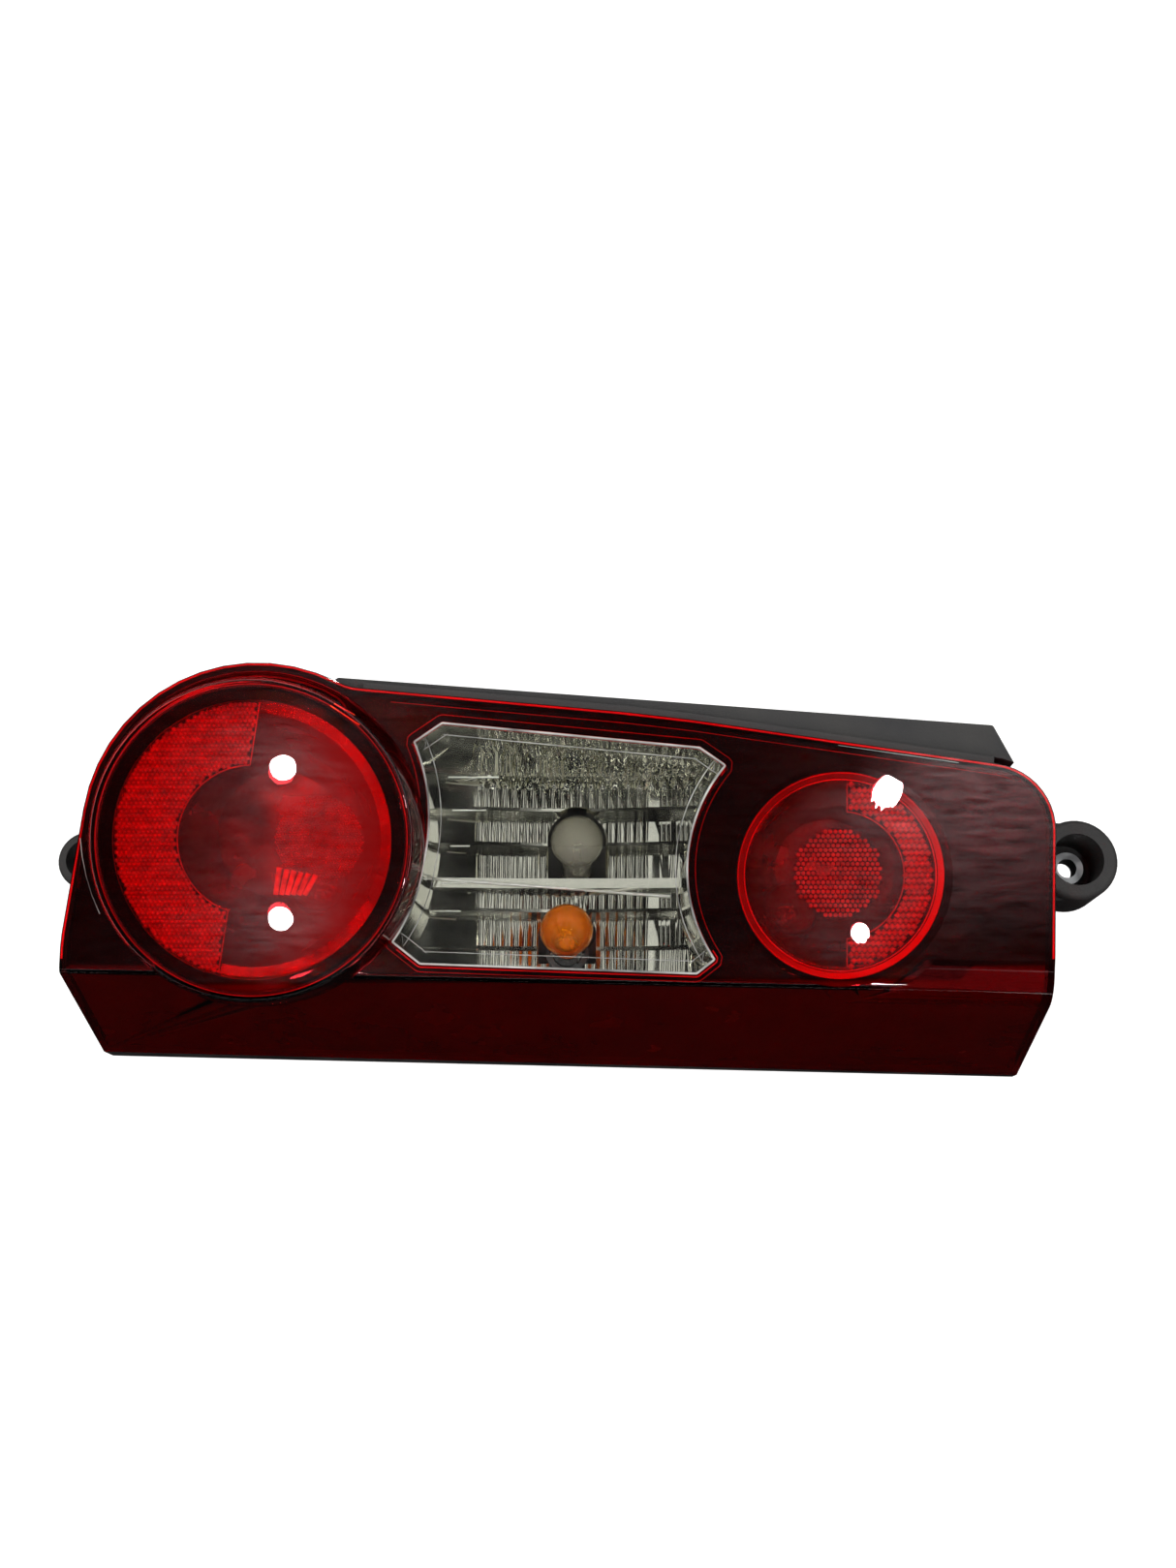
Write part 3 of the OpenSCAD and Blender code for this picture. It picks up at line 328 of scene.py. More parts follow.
# Painted glow: an emission on the right half of the large plate stands in for the stray light it catches
shader = red_optic.node_tree.nodes["Principled BSDF"]
place = split(red_optic, face_coords(red_optic, (-156.4, -26)))
painted_glow_zone = maths(red_optic, "MULTIPLY", step(red_optic, place[0], -6, 46), step(red_optic, place[0], 90, 80))
shader.inputs["Emission Strength"].default_value = 1.0
link(red_optic, blend_colour(red_optic, painted_glow_zone, (0.0, 0.0, 0.0), PAINTED_GLOW), shader.inputs["Emission Color"])
bulb_glass = see_through("bulb_glass", (0.80, 0.78, 0.68), ior=1.2, milk=0.08)
amber_glass = see_through("amber_glass", (0.98, 0.38, 0.006), ior=1.4, milk=0.12)
print("clear materials:", [m.name for m in (red_lens, clear_lens, red_optic, bulb_glass, amber_glass)])

# %% [markdown]
# Inside sit a gloss black mask and metallised reflectors. A vapour-coated reflector is a mirror
# with a slight orange peel, from the plastic under the thin coat of aluminium.

# %% Opaque materials
mask_black, shader = material("mask_black", Specular_IOR_Level=0.06)
spots = noise(mask_black, coords(mask_black), 25)
face = split(mask_black, face_coords(mask_black))
# Below the crease the mask is a dark red, and at both ends that starts a little higher
ends = step(mask_black, maths(mask_black, "ABSOLUTE", maths(mask_black, "ADD", face[0], 12)), 188, 196)
crease = maths(mask_black, "ADD", face[1], maths(mask_black, "MULTIPLY", ends, -7))
flank = step(mask_black, crease, -92, -94.5)
dark = ramp(mask_black, spots, (0.3, (0.002, 0.002, 0.002)), (0.75, (0.005, 0.004, 0.005)))
deep_red = ramp(mask_black, spots, (0.3, (0.040, 0.008, 0.008)), (0.75, (0.056, 0.012, 0.012)))
link(mask_black, blend_colour(mask_black, flank, dark, deep_red), shader.inputs["Base Color"])
link(mask_black, ramp(mask_black, spots, (0.35, 0.12), (0.7, 0.3)), shader.inputs["Roughness"])

metallised, shader = material("metallised", Base_Color=(0.80, 0.81, 0.80), Metallic=1.0, Roughness=0.1)
wear(metallised, shader, 0.06, 0.16, 40, ((0.54, 0.53, 0.45), (0.74, 0.73, 0.63)))
face = split(metallised, face_coords(metallised))
# The reflector's upper wall carries the same vertical flutes as the treads
wave = maths(metallised, "SINE", maths(metallised, "MULTIPLY", face[0], 2 * math.pi / 6.1))
wave = maths(metallised, "MULTIPLY", wave, step(metallised, face[1], -3, 0))
wave = maths(metallised, "MULTIPLY", wave, step(metallised, face[0], -56, -52))
fluted = bump(metallised, wave, 0.0006)
link(metallised, fluted, shader.inputs["Normal"])

smoked, shader = material("smoked_metallised", Metallic=1.0)
wear(smoked, shader, 0.12, 0.3, 40, ((0.30, 0.27, 0.27), (0.52, 0.48, 0.48)))

housing_black, shader = material("housing_black", Specular_IOR_Level=0.35)
wear(housing_black, shader, 0.45, 0.65, 30, ((0.014, 0.014, 0.015), (0.032, 0.031, 0.030)))
skin(housing_black, shader, 900, 0.0004, 0.6)

carrier_black, shader = material("carrier_black", Base_Color=(0.05, 0.052, 0.055), Roughness=0.55)
wear(carrier_black, shader, 0.45, 0.65, 30, ((0.040, 0.041, 0.044), (0.070, 0.071, 0.074)))

foam, shader = material("foam", Base_Color=(0.02, 0.02, 0.02), Roughness=0.95)
wear(foam, shader, 0.85, 1.0, 300, ((0.012, 0.012, 0.012), (0.040, 0.040, 0.040)))
skin(foam, shader, 1200, 0.0006, 0.8)

zinc, shader = material("zinc", Base_Color=(0.55, 0.56, 0.57), Metallic=1.0, Roughness=0.35)
wear(zinc, shader, 0.28, 0.5, 120, ((0.42, 0.43, 0.44), (0.62, 0.63, 0.64)))

brass, shader = material("brass", Base_Color=(0.75, 0.56, 0.24), Metallic=1.0, Roughness=0.3)
wear(brass, shader, 0.22, 0.42, 90, ((0.62, 0.45, 0.18), (0.82, 0.64, 0.30)))

nickel, shader = material("nickel", Base_Color=(0.70, 0.69, 0.66), Metallic=1.0, Roughness=0.25)
wear(nickel, shader, 0.18, 0.34, 150, ((0.60, 0.59, 0.56), (0.76, 0.75, 0.72)))

reflex_red, shader = material("reflex_red", IOR=1.49, Coat_Weight=0.4, Coat_Roughness=0.05)
wear(reflex_red, shader, 0.08, 0.2, 220, ((0.34, 0.006, 0.010), (0.66, 0.026, 0.018)))

disc_red, shader = material("disc_red", IOR=1.49, Coat_Weight=0.4, Coat_Roughness=0.05)
wear(disc_red, shader, 0.08, 0.2, 160, ((0.20, 0.006, 0.008), (0.50, 0.020, 0.018)))

satin, shader = material("satin_metal", Metallic=0.8)
wear(satin, shader, 0.35, 0.5, 60, ((0.62, 0.61, 0.56), (0.86, 0.85, 0.80)))

# Painted glow: a red base with a slight red emission, for the glowing edges of the lens
edge_red_painted_glow, shader = material("edge_red_painted_glow", IOR=1.49, Emission_Strength=0.06, Emission_Color=(1.0, 0.02, 0.03))
wear(edge_red_painted_glow, shader, 0.1, 0.25, 30, ((0.30, 0.008, 0.014), (0.72, 0.040, 0.050)))

deep_edge, shader = material("deep_edge_red", IOR=1.49)
wear(deep_edge, shader, 0.1, 0.25, 30, ((0.20, 0.004, 0.006), (0.42, 0.012, 0.014)))

# Pale beads that paint highlights: glints along edges, and broken highlights on the window's border
painted_glint_edge, shader = material("painted_glint_edge", IOR=1.49)
wear(painted_glint_edge, shader, 0.08, 0.25, 45, ((0.06, 0.06, 0.06), (0.50, 0.50, 0.48)))
print("opaque materials ready")

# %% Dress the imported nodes
LOOK = {
    "housing": housing_black, "outer_lens": red_lens, "window_lens": clear_lens, "mask": mask_black,
    "large_inner_lens": red_optic, "small_inner_lens": red_optic,
    "large_reflector": metallised, "small_reflector": metallised, "window_reflector": metallised,
    "bulb_carrier": carrier_black, "carrier_seal": foam, "carrier_screws": zinc,
    "contact_strips": brass, "connector_shroud": housing_black, "connector_pins": brass,
    "sleeve_left": zinc, "sleeve_right": zinc, "body_gasket": foam, "vent_cap": carrier_black,
}
for bulb in ("stop", "reverse", "indicator", "fog"):
    LOOK[bulb + "_bulb_glass"] = amber_glass if bulb == "indicator" else bulb_glass
    LOOK[bulb + "_bulb_cap"] = nickel
    LOOK[bulb + "_bulb_mount"] = nickel

LOOK["large_reflector"] = LOOK["small_reflector"] = smoked

for name, node in nodes.items():
    node.data.materials.clear()
    node.data.materials.append(LOOK[name])
print("dressed", len(LOOK), "nodes")

# %% [markdown]
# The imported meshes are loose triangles, so a round glass or a fluted mirror shows its facets.
# A copy with its doubles merged can be shaded smooth, with only the true edges kept sharp. The
# copy stands for its node, which stays in the part for collision.

# %% Smooth copies of the polished pieces


def fresh():
    """Leaves edit mode and deselects everything, because an operator acts on all that is selected."""
    if bpy.context.object and bpy.context.object.mode != "OBJECT":
        bpy.ops.object.mode_set(mode="OBJECT")
    bpy.ops.object.select_all(action="DESELECT")


def choose(piece):
    fresh()
    piece.select_set(True)
    bpy.context.view_layer.objects.active = piece


def hang(piece, look, node=None):
    """Bakes a piece's place into its mesh, dresses it and hangs it on the part's one body."""
    choose(piece)
    bpy.ops.object.transform_apply(location=True, rotation=True, scale=True)
    piece.data.materials.clear()
    piece.data.materials.append(look)
    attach(piece, "root")
    if node:
        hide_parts(node)
    return piece


def merged(node, name):
    """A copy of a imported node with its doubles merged."""
    piece = bpy.data.objects.new(name, nodes[node].data.copy())
    bpy.context.scene.collection.objects.link(piece)
    choose(piece)
    if piece.data.has_custom_normals:
        bpy.ops.mesh.customdata_custom_splitnormals_clear()
    bpy.ops.object.mode_set(mode="EDIT")
    bpy.ops.mesh.select_all(action="SELECT")
    bpy.ops.mesh.remove_doubles(threshold=0.00001)
    bpy.ops.object.mode_set(mode="OBJECT")
    return piece


def smooth_copy(node, name, angle=32):
    piece = merged(node, name)
    bpy.ops.object.shade_smooth_by_angle(angle=math.radians(angle))
    bpy.ops.object.modifier_add(type="WEIGHTED_NORMAL")
    weighted = piece.modifiers[-1]
    weighted.weight = 100
    weighted.keep_sharp = True
    bpy.ops.object.modifier_apply(modifier=weighted.name)
    return hang(piece, LOOK[node], node)


red_shell = smooth_copy("outer_lens", "red_shell")
clear_pane = smooth_copy("window_lens", "clear_pane")
smooth_copy("window_reflector", "fluted_mirror", 50)
smooth_copy("large_reflector", "large_bowl")
smooth_copy("small_reflector", "small_bowl")
smooth_copy("housing", "tub")
for bulb in ("stop", "reverse", "indicator", "fog"):
    smooth_copy(bulb + "_bulb_glass", bulb + "_envelope")
    smooth_copy(bulb + "_bulb_cap", bulb + "_base")
    smooth_copy(bulb + "_bulb_mount", bulb + "_filament")
print("red shell:", len(red_shell.data.vertices), "points")

# %% [markdown]
# A thick clear moulding pipes light to its edges, and there they glow; that glow is painted,
# as a slight red emission in the beads. The outline isn't typed in again: a plane is laid
# through the merged lens, and the loops that it cuts are walked and given a thin round bead.

# %% Loops cut from the lens


def spread(loop, pitch=2.0):
    """The same closed loop with points at most a pitch apart."""
    points = []
    for a, b in zip(loop, loop[1:] + loop[:1]):
        parts = max(1, math.ceil((b - a).length / pitch))
        points += [a.lerp(b, i / parts) for i in range(parts)]
    return points


def cut_loops(piece, w):
    """The closed loops in which the plane at face height w cuts a piece, in face millimetres, longest first."""
    cut = bmesh.new()
    cut.from_mesh(piece.data)
    normal = FACE.to_3x3() @ Vector((0, 0, 1))
    everything = cut.verts[:] + cut.edges[:] + cut.faces[:]
    bmesh.ops.bisect_plane(cut, geom=everything, plane_co=on_face(0, 0, w), plane_no=normal, clear_inner=True, clear_outer=True)
    bmesh.ops.remove_doubles(cut, verts=cut.verts[:], dist=0.00002)
    back = FACE.inverted()
    loops, seen = [], set()
    for first in cut.verts:
        if first in seen:
            continue
        loop, here = [], first
        while here:
            seen.add(here)
            loop.append(back @ here.co / MM)
            here = next((e.other_vert(here) for e in here.link_edges if e.other_vert(here) not in seen), None)
        if len(loop) > 8:
            loops.append(spread(loop))
    cut.free()
    length = lambda loop: sum((a - b).length for a, b in zip(loop, loop[1:]))
    return sorted(loops, key=length, reverse=True)


def inset(loop, d, w=None):
    """A closed loop moved inwards by d millimetres, and to height w where that is given."""
    area = sum(a.x * b.y - b.x * a.y for a, b in zip(loop, loop[1:] + loop[:1]))
    side = 1 if area > 0 else -1
    moved = []
    for before, here, after in zip(loop[-1:] + loop[:-1], loop, loop[1:] + loop[:1]):
        along = (after - before).normalized()
        moved.append(Vector((here.x - side * along.y * d, here.y + side * along.x * d, here.z if w is None else w)))
    return moved


def bead(name, points, radius, look, closed=True):
    """A thin round bead along points given in face millimetres."""
    curve = bpy.data.curves.new(name, "CURVE")
    curve.dimensions = "3D"
    line = curve.splines.new("POLY")
    line.points.add(len(points) - 1)
    for point, place in zip(line.points, points):
        point.co = (*on_face(*place), 1)
    line.use_cyclic_u = closed
    curve.bevel_depth = radius * MM
    curve.bevel_resolution = 2
    curve.use_fill_caps = not closed
    piece = bpy.data.objects.new(name, curve)
    bpy.context.scene.collection.objects.link(piece)
    choose(piece)
    bpy.ops.object.convert(target="MESH")
    bpy.ops.object.shade_smooth()
    return hang(bpy.context.object, look)


rim_loop = cut_loops(red_shell, -1.4)[0]
pane_loop = cut_loops(clear_pane, -0.3)[0]
print("rim loop", len(rim_loop), "points; pane loop", len(pane_loop))


def stretch(loop, keep):
    """The run of a loop's points for which keep is true, in order."""
    flags = [keep(p) for p in loop]
    start = next(i for i in range(len(loop)) if flags[i] and not flags[i - 1])
    run = []
    for i in range(len(loop)):
        if not flags[(start + i) % len(loop)]:
            break
        run.append(loop[(start + i) % len(loop)])
    return run


# Red beads with a slight emission paint the glow of the lens's edges; the pale ones paint its glints
bead("rim_line", stretch(inset(rim_loop, 0.8, -0.8), lambda p: p.y > -84), 0.5, edge_red_painted_glow, False)
bead("rim_line_inner", stretch(inset(rim_loop, 5.2, -0.7), lambda p: p.y > 2 and p.x > -95), 0.16, deep_edge, False)
# A painted highlight along the top edge, towards its outboard end
bead("rim_glint", stretch(inset(rim_loop, 2.1, -0.05), lambda p: p.y > 2 and 118 < p.x < 176), 0.16, painted_glint_edge, False)
bead("pane_border", inset(pane_loop, -0.3, -0.4), 0.6, painted_glint_edge)
bead("pane_line", inset(pane_loop, 5.0, -7.0), 0.2, painted_glint_edge)
bead("pane_red_line", stretch(inset(pane_loop, -1.9, -0.9), lambda p: p.y < -78), 0.3, edge_red_painted_glow, False)
bead("pane_outer_line", inset(pane_loop, -4.2, -2.0), 0.16, deep_edge)


def circle(centre, r, w, steps=128, start=0.0, sweep=360.0):
    """Points of an arc on the face, in face millimetres."""
    count = steps if sweep == 360.0 else steps + 1
    turn = [math.radians(start + sweep * i / steps) for i in range(count)]
    return [Vector((centre[0] + r * math.cos(a), centre[1] + r * math.sin(a), w)) for a in turn]


L = (-156.4, -26)
S = (120, -43.5)
# The beads in the glowing red paint the glow at the drum's foot and round the small light's opening
bead("drum_rim_line", circle(L, 72.4, 14.6), 0.25, deep_edge)
bead("drum_opening_line", circle(L, 65.2, 11.4), 0.35, deep_edge)
bead("drum_foot_line", circle(L, 79.0, 0.6, 96, 60, 160), 0.3, edge_red_painted_glow, False)
bead("small_opening_line", circle(S, 48.8, -4.6), 0.35, edge_red_painted_glow)
bead("small_opening_inner", circle(S, 45.6, -6.4), 0.35, edge_red_painted_glow)

# %% The sloped red band round the small light
fresh()
bpy.ops.mesh.primitive_cone_add(vertices=96, radius1=46.4 * MM, radius2=48.6 * MM, depth=1.3 * MM, end_fill_type="NOTHING")
band = bpy.context.object
band.name = "small_band"
band.modifiers.new("thick", "SOLIDIFY").thickness = 0.3 * MM
bpy.ops.object.modifier_apply(modifier="thick")
bpy.ops.object.shade_smooth_by_angle(angle=math.radians(40))
band.matrix_world = FACE @ Matrix.Translation((S[0] * MM, S[1] * MM, -5.4 * MM))
band_red, shader = material("band_red", IOR=1.49)
wear(band_red, shader, 0.1, 0.2, 60)
face = split(band_red, face_coords(band_red, (120, -43.5)))
low_right = step(band_red, maths(band_red, "SUBTRACT", face[0], face[1]), -20, 62)
link(band_red, blend_colour(band_red, low_right, (0.16, 0.003, 0.008), (0.55, 0.008, 0.010)), shader.inputs["Base Color"])
hang(band, band_red)

# %% [markdown]
# Where the drum meets the straight top edge, the black housing fills the valley behind the rim.
# Its outline is the lens's own edge, closed by a straight chord and given depth.

# %% The valley behind the rim


def slab(name, outline, depth):
    """A flat outline in face millimetres, given depth down the face."""
    mesh = bpy.data.meshes.new(name)
    mesh.from_pydata([on_face(*p) for p in outline], [], [tuple(range(len(outline)))])
    piece = bpy.data.objects.new(name, mesh)
    bpy.context.scene.collection.objects.link(piece)
    choose(piece)
    bpy.ops.object.mode_set(mode="EDIT")
    bpy.ops.mesh.select_all(action="SELECT")
    move = FACE.to_3x3() @ Vector((0, 0, -depth * MM))
    bpy.ops.mesh.extrude_region_move(TRANSFORM_OT_translate={"value": move})
    bpy.ops.mesh.select_all(action="SELECT")
    bpy.ops.mesh.normals_make_consistent(inside=False)
    return hang(piece, housing_black)


valley = stretch(inset(rim_loop, -0.1, -2.0), lambda p: p.y > 30 and -128.5 < p.x < -112)
slab("shoulder_tip", valley, 10)
near, far = [stretch(inset(rim_loop, d, -2.0), lambda p: p.y > 4 and -108 < p.x < 193) for d in (-0.1, -3.0)]
slab("shoulder_lip", near + far[::-1], 8)
print("valley", [tuple(round(c, 1) for c in p) for p in valley[::3]])

# %% [markdown]
# A reflex reflector sends light back where it came from, off hundreds of small corner prisms.
# One prism is modelled and copied over a staggered lattice, and a mask keeps only the places
# inside the C. The discs are the same idea, with low round pillows that spread the bulb's light.

# %% Prisms and pillows


def lattice(pitch_u, pitch_v, reach):
    """Staggered places in rows, in millimetres from a centre."""
    rows = int(reach / pitch_v) + 1
    columns = int(reach / pitch_u) + 1
    for j in range(-rows, rows + 1):
        for i in range(-columns, columns + 1):
            yield (i + 0.5 * (j % 2)) * pitch_u, j * pitch_v


def field(name, centre, places, low, seed, look):
    """One small form copied to every place, as one piece."""
    points = [v.co.copy() for v in seed.data.vertices]
    faces = [tuple(f.vertices) for f in seed.data.polygons]
    verts, polys = [], []
    for u, v in places:
        base = len(verts)
        verts += [on_face(centre[0] + u + p.x / MM, centre[1] + v + p.y / MM, low + p.z / MM) for p in points]
        polys += [tuple(base + i for i in f) for f in faces]
    mesh = bpy.data.meshes.new(name)
    mesh.from_pydata(verts, [], polys)
    piece = bpy.data.objects.new(name, mesh)
    bpy.context.scene.collection.objects.link(piece)
    print(name, len(verts), "points")
    return hang(piece, look)


def prism(sides, radius, rise, top=0.0):
    fresh()
    bpy.ops.mesh.primitive_cone_add(vertices=sides, radius1=radius * MM, radius2=top * MM, depth=rise * MM, location=(0, 0, rise / 2 * MM))
    seed = bpy.context.object
    bpy.ops.object.transform_apply(location=True, rotation=True, scale=True)
    return seed


def in_large_c(u, v):
    return 35.6 < math.hypot(u, v) < 63.6 and u < -6.2 + 0.152 * v - 1


def in_small_c(u, v):
    return 31.2 < math.hypot(u, v) < 43.6 and u > 4.2


seed = prism(6, 1.22, 1.5)
field("large_prisms", L, [p for p in lattice(2.2, 1.9, 66) if in_large_c(*p)], 11.8, seed, reflex_red)
bpy.data.objects.remove(seed)
seed = prism(4, 1.75, 1.4)
field("small_prisms", S, [p for p in lattice(2.6, 2.7, 46) if in_small_c(*p)], -6.4, seed, reflex_red)
bpy.data.objects.remove(seed)
seed = prism(6, 0.72, 0.5, 0.35)
places = [p for p in lattice(1.4, 1.25, 22) if math.hypot(*p) < 20.6]
field("large_pebbles", (L[0] + 31, L[1]), places, 11.15, seed, disc_red)
bpy.data.objects.remove(seed)
seed = prism(8, 1.05, 0.6, 0.5)
places = [p for p in lattice(2.35, 2.2, 22) if math.hypot(*p) < 21.0]
field("small_pillows", (S[0] - 1, S[1] + 1), places, -6.85, seed, disc_red)
bpy.data.objects.remove(seed)

# %% The rims of the two C zones
bead("large_c_inner", circle(L, 34.8, 11.9, 64, 92, 158), 0.3, reflex_red, False)
bead("large_c_top_end", [(L[0] - 6.2 + 0.152 * v, L[1] + v, 11.9) for v in (34.8, 63.8)], 0.3, reflex_red, False)
bead("large_c_low_end", [(L[0] - 6.2 + 0.152 * v, L[1] + v, 11.9) for v in (-33.0, -61.8)], 0.3, reflex_red, False)
bead("small_c_inner", circle(S, 30.4, -6.3, 64, -84, 168), 0.3, reflex_red, False)
bead("small_c_top_end", [(S[0] + 3.2, S[1] + v, -6.3) for v in (30.4, 43.6)], 0.3, reflex_red, False)
bead("small_c_low_end", [(S[0] + 3.2, S[1] + v, -6.3) for v in (-30.4, -43.6)], 0.3, reflex_red, False)

# %% [markdown]
# Some details are known by their place on the picture only. A ray from the camera through that
# place finds the surface they sit on, so they are right from any side.

# %% Bright bars on the treads, found by rays
mirror = bpy.data.objects["fluted_mirror"]
EYE = on_face(0, 0, 850)


def seen(piece, px, py):
    """The face point of a piece under a pixel of the photograph."""
    towards = (on_face((px - 607) * 0.458, (810 - py) * 0.458, 0) - EYE).normalized()
    hit, place, normal, index = piece.ray_cast(EYE, towards)
    return FACE.inverted() @ place / MM if hit else None


def bar(name, pixels, radius, look, lift=0.2):
    points = [seen(mirror, *p) for p in pixels]
    points = [p + Vector((0, 0, lift)) for p in points if p]
    print(name, [tuple(round(c, 1) for c in p) for p in points])
    if len(points) > 1:
        bead(name, points, radius, look, False)


# Painted glints: a bright, slightly glowing red for the bars that stand for the lit facets, and for the light's
# streaks on the drum's wall
facet_red, shader = material("facet_red", IOR=1.49, Emission_Strength=0.04, Emission_Color=(1.0, 0.10, 0.02))
wear(facet_red, shader, 0.1, 0.2, 250, ((0.40, 0.01, 0.005), (0.95, 0.10, 0.02)))
plate = nodes["large_inner_lens"]
# Painted glow: six emissive red bars stand for the lit facets under the pebbled disc
for number in range(6):
    ends = [seen(plate, 289 + 7.5 * number, 896 + 1.5 * number), seen(plate, 285 + 6 * number, 924)]
    if all(ends):
        bead("facet_%d" % number, [p + Vector((0, 0, 0.3)) for p in ends], 1.3, facet_red, False)
# A painted highlight down the left of the drum's flange
glint = [seen(red_shell, *p) for p in ((83, 866), (85, 885), (89, 905), (95, 925), (103, 944))]
if all(glint):
    bead("flange_glint", [p + Vector((0, 0, 0.05)) for p in glint], 0.22, painted_glint_edge, False)
# Painted highlights: two short streaks on the drum's wall
for number, ends in enumerate((((341, 729), (371, 749)), ((345, 727), (366, 739)))):
    ends = [seen(red_shell, *p) for p in ends]
    if all(ends):
        bead("drum_streak_%d" % number, [p + Vector((0, 0, -0.3)) for p in ends], 0.35, facet_red, False)

# Painted highlights: pale satin bars on the left ends of the tread edges, where the rounded edges catch the light
for number, (left, right, row) in enumerate(((463, 515, 803), (467, 502, 837), (465, 485, 874), (456, 483, 912), (446, 476, 941))):
    bar("tread_bar_%d" % number, ((left, row), (right, row)), 0.35, satin)
bar("divider_cap", [(x, 907 + (x - 440) * 0.075) for x in range(440, 700, 12)], 0.8, satin, 0.3)

# %% [markdown]
# The picture was taken squarely from the front, so the camera stands on the face's own normal.
# Its distance and field of view follow from the lamp's size on the picture.

# %% Camera
camera_data = bpy.data.cameras.new("camera")
camera = bpy.data.objects.new("camera", camera_data)
bpy.context.scene.collection.objects.link(camera)
camera.matrix_world = FACE @ Matrix.Translation((0, 0, 0.850))
camera_data.lens = 41.27
camera_data.sensor_width = 36
camera_data.clip_end = 20
bpy.context.scene.camera = camera

# %% [markdown]
# A room's ceiling is dark between its lamps, and the lamp's polished face mirrors that dark part
# straight back. So the soft boxes stand to the sides, and four small round lamps give the sharp
# highlights on the two domes.

# %% Light and floor


def soft_box(name, at, size, watts, colour=(1, 1, 1), aim=(0, 0, 0)):
    data = bpy.data.lights.new(name, "AREA")
    data.shape = "RECTANGLE"
    data.size, data.size_y = size
    data.energy = watts
    data.color = colour
    light = bpy.data.objects.new(name, data)
    bpy.context.scene.collection.objects.link(light)
    place = on_face(*at)
    light.matrix_world = Matrix.Translation(place) @ (on_face(*aim) - place).to_track_quat("-Z", "Y").to_matrix().to_4x4()
    return light


def round_lamp(name, at, radius, watts):
    light = soft_box(name, at, (2 * radius, 2 * radius), watts)
    light.data.shape = "DISK"
    light.data.size = 2 * radius
    return light


boxes = [
    soft_box("left_box", (-900, 250, 700), (0.7, 0.9), 8, (1.0, 0.98, 0.95)),
    soft_box("right_box", (950, 350, 700), (0.6, 0.9), 8, (1.0, 0.97, 0.93)),
    soft_box("back_box", (0, 1000, 600), (1.6, 0.4), 8, (1.0, 0.98, 0.96)),
    soft_box("front_box", (0, -900, 900), (1.4, 0.4), 6, (1.0, 0.98, 0.96)),
]
for box in boxes:
    box.visible_glossy = False
    box.visible_transmission = False
round_lamp("lamp_a", (-252, 138, 1022), 0.033, 1.4)
round_lamp("lamp_b", (-264, -269, 1022), 0.034, 1.4)
round_lamp("lamp_c", (383, 122, 1000), 0.037, 1.5)
round_lamp("lamp_d", (313, -252, 1000), 0.024, 0.7)


def seen_white(tree_owner, dim, bright):
    """A factor that is 1 for rays that look at the background: straight, in gloss or through glass."""
    nodes_, links_ = tree_owner.node_tree.nodes, tree_owner.node_tree.links
    path = nodes_.new("ShaderNodeLightPath")
    total = path.outputs["Is Camera Ray"]
    for name in ("Is Glossy Ray", "Is Transmission Ray"):
        most = nodes_.new("ShaderNodeMath")
        most.operation = "MAXIMUM"
        links_.new(total, most.inputs[0])
        links_.new(path.outputs[name], most.inputs[1])
        total = most.outputs[0]
    level = nodes_.new("ShaderNodeMapRange")
    level.inputs["To Min"].default_value = dim
    level.inputs["To Max"].default_value = bright
    links_.new(total, level.inputs["Value"])
    return level.outputs["Result"]


world = bpy.data.worlds.new("room")
world.use_nodes = True
bpy.context.scene.world = world
background = world.node_tree.nodes["Background"]
background.inputs["Color"].default_value = (1.0, 1.0, 1.0, 1)
world.node_tree.links.new(seen_white(world, 0.3, 1.0), background.inputs["Strength"])

fresh()
bpy.ops.mesh.primitive_plane_add(size=12, location=(0, 0, 0))
floor = bpy.context.active_object
floor.name = "floor"
floor.location.z = -0.0002
bpy.ops.object.transform_apply(location=True, rotation=True, scale=True)
paper, shader = material("paper", Base_Color=(0.35, 0.35, 0.35), Roughness=0.9)
wear(paper, shader, 0.85, 0.95, 4, ((0.33, 0.33, 0.33), (0.37, 0.37, 0.37)))
white = add(paper, "ShaderNodeEmission")
link(paper, seen_white(paper, 0.0, 0.85), white.inputs["Strength"])
both = add(paper, "ShaderNodeAddShader")
link(paper, shader.outputs["BSDF"], both.inputs[0])
link(paper, white.outputs["Emission"], both.inputs[1])
link(paper, both.outputs["Shader"], paper.node_tree.nodes["Material Output"].inputs["Surface"])
floor.data.materials.append(paper)

# %% [markdown]
# A photographer keeps polished dark plastic dark with black cards, which the camera doesn't see.
# One hangs over the lamp, where the flat face mirrors the ceiling, and one lies on the table.

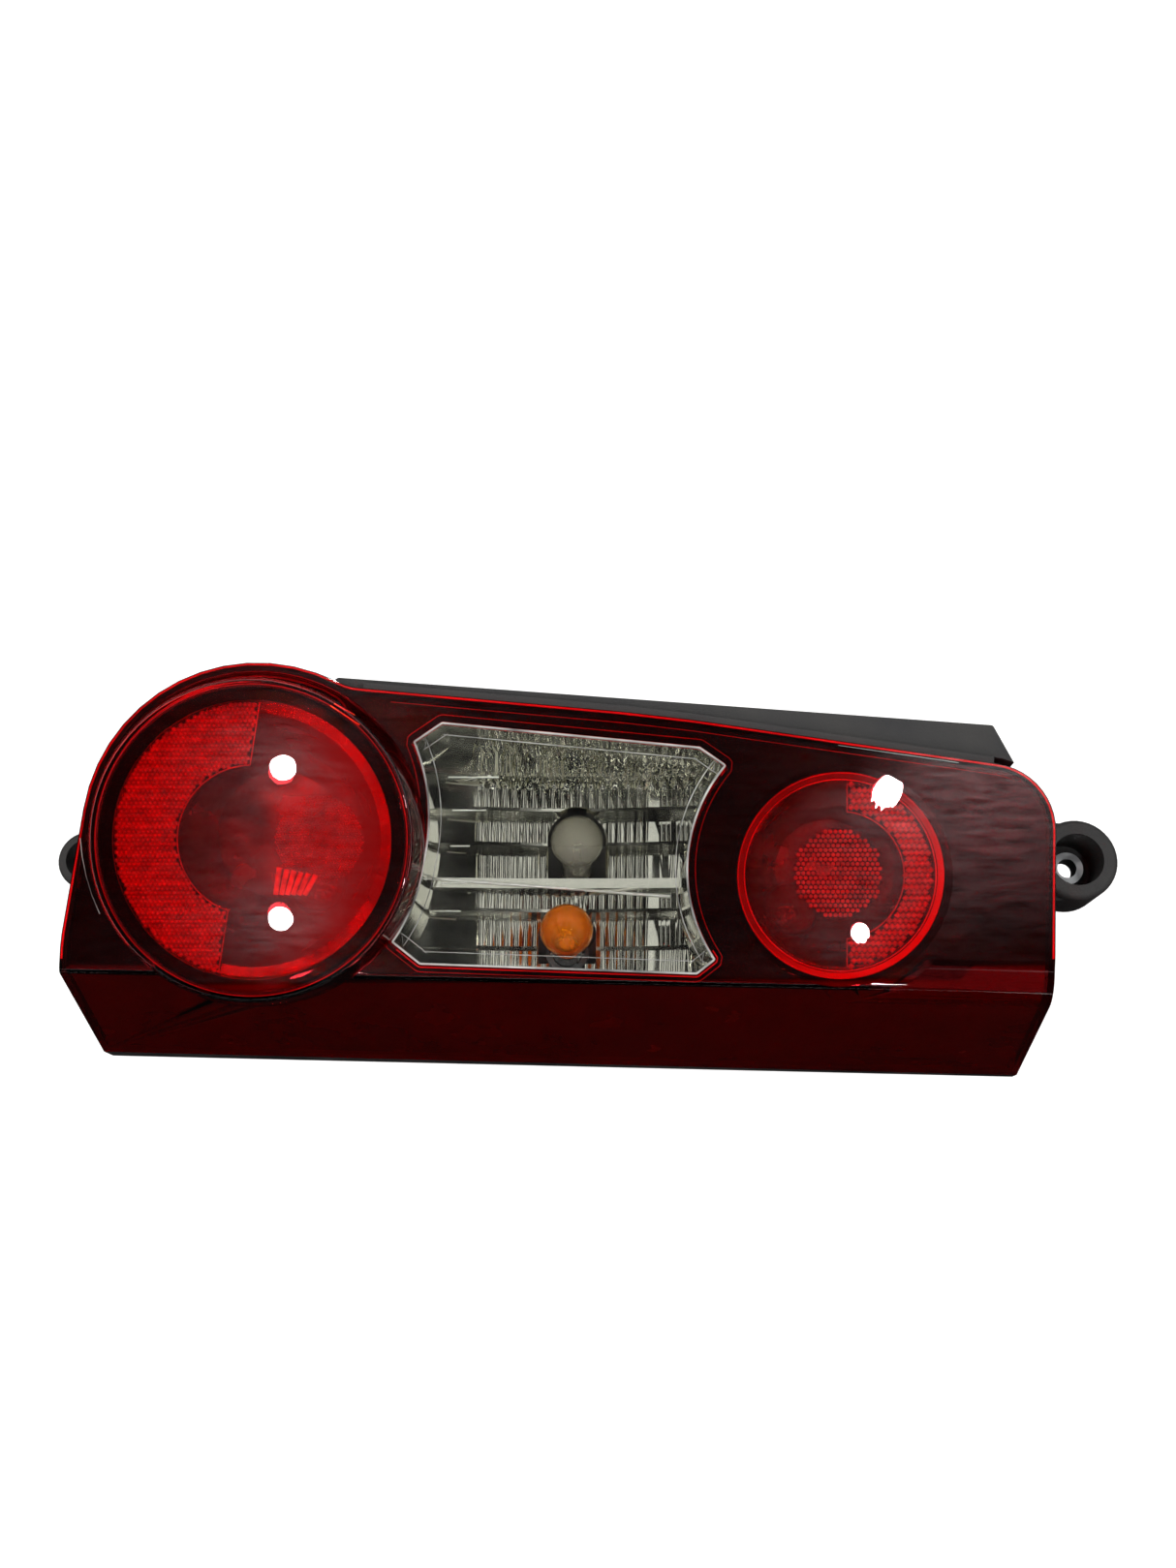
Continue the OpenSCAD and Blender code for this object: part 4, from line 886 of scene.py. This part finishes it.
# %% Black cards
card_black, shader = material("card_black", Specular_IOR_Level=0.0)
wear(card_black, shader, 0.8, 0.95, 6, ((0.003, 0.003, 0.003), (0.006, 0.006, 0.006)))


def card(name, size, place, seen_in):
    """A black card that only one kind of ray meets: gloss, or what passes through the lens."""
    fresh()
    bpy.ops.mesh.primitive_plane_add(size=1)
    piece = bpy.context.object
    piece.name = name
    piece.scale = (*size, 1)
    bpy.ops.object.transform_apply(location=False, rotation=False, scale=True)
    piece.data.transform(place)
    piece.data.materials.append(card_black)
    for kind in ("camera", "diffuse", "shadow", "volume_scatter", "glossy", "transmission"):
        setattr(piece, "visible_" + kind, kind == seen_in)
    return piece


UP = Matrix.Rotation(math.radians(90), 4, "X")
SIDE = Matrix.Rotation(math.radians(90), 4, "Z")
card("ceiling_card", (2.4, 1.5), FACE @ Matrix.Translation((0, 0, 1.08)), "glossy")
card("table_card", (2.2, 1.6), Matrix.Translation((0, 0, 0.0002)), "glossy")
card("table_card_inner", (2.2, 1.6), Matrix.Translation((0, 0, 0.0003)), "transmission")
card("back_card", (2.6, 0.8), Matrix.Translation((0, 1.1, 0.42)) @ UP, "glossy")
card("front_card", (2.6, 0.8), Matrix.Translation((0, -1.1, 0.42)) @ UP, "glossy")
card("left_card", (2.0, 0.5), Matrix.Translation((-1.2, 0, 0.27)) @ SIDE @ UP, "glossy")
card("right_card", (2.0, 0.5), Matrix.Translation((1.2, 0, 0.27)) @ SIDE @ UP, "glossy")

# The reflector in the window mirrors a slatted part of the ceiling, so each flute is light and dark
card("inner_card", (2.6, 1.05), FACE @ Matrix.Translation((0, -0.225, 1.07)), "transmission")
for number, (left, right) in enumerate(((-2600, -640), (-420, -60), (80, 480), (900, 1300))):
    middle = FACE @ Matrix.Translation(((left + right) / 2 * MM, 0.675, 1.07))
    card("slat_%d" % number, ((right - left) * MM, 0.75), middle, "transmission")

scene = bpy.context.scene
scene.view_settings.view_transform = "Standard"
scene.cycles.max_bounces = 16
scene.cycles.transmission_bounces = 12
scene.cycles.transparent_max_bounces = 24
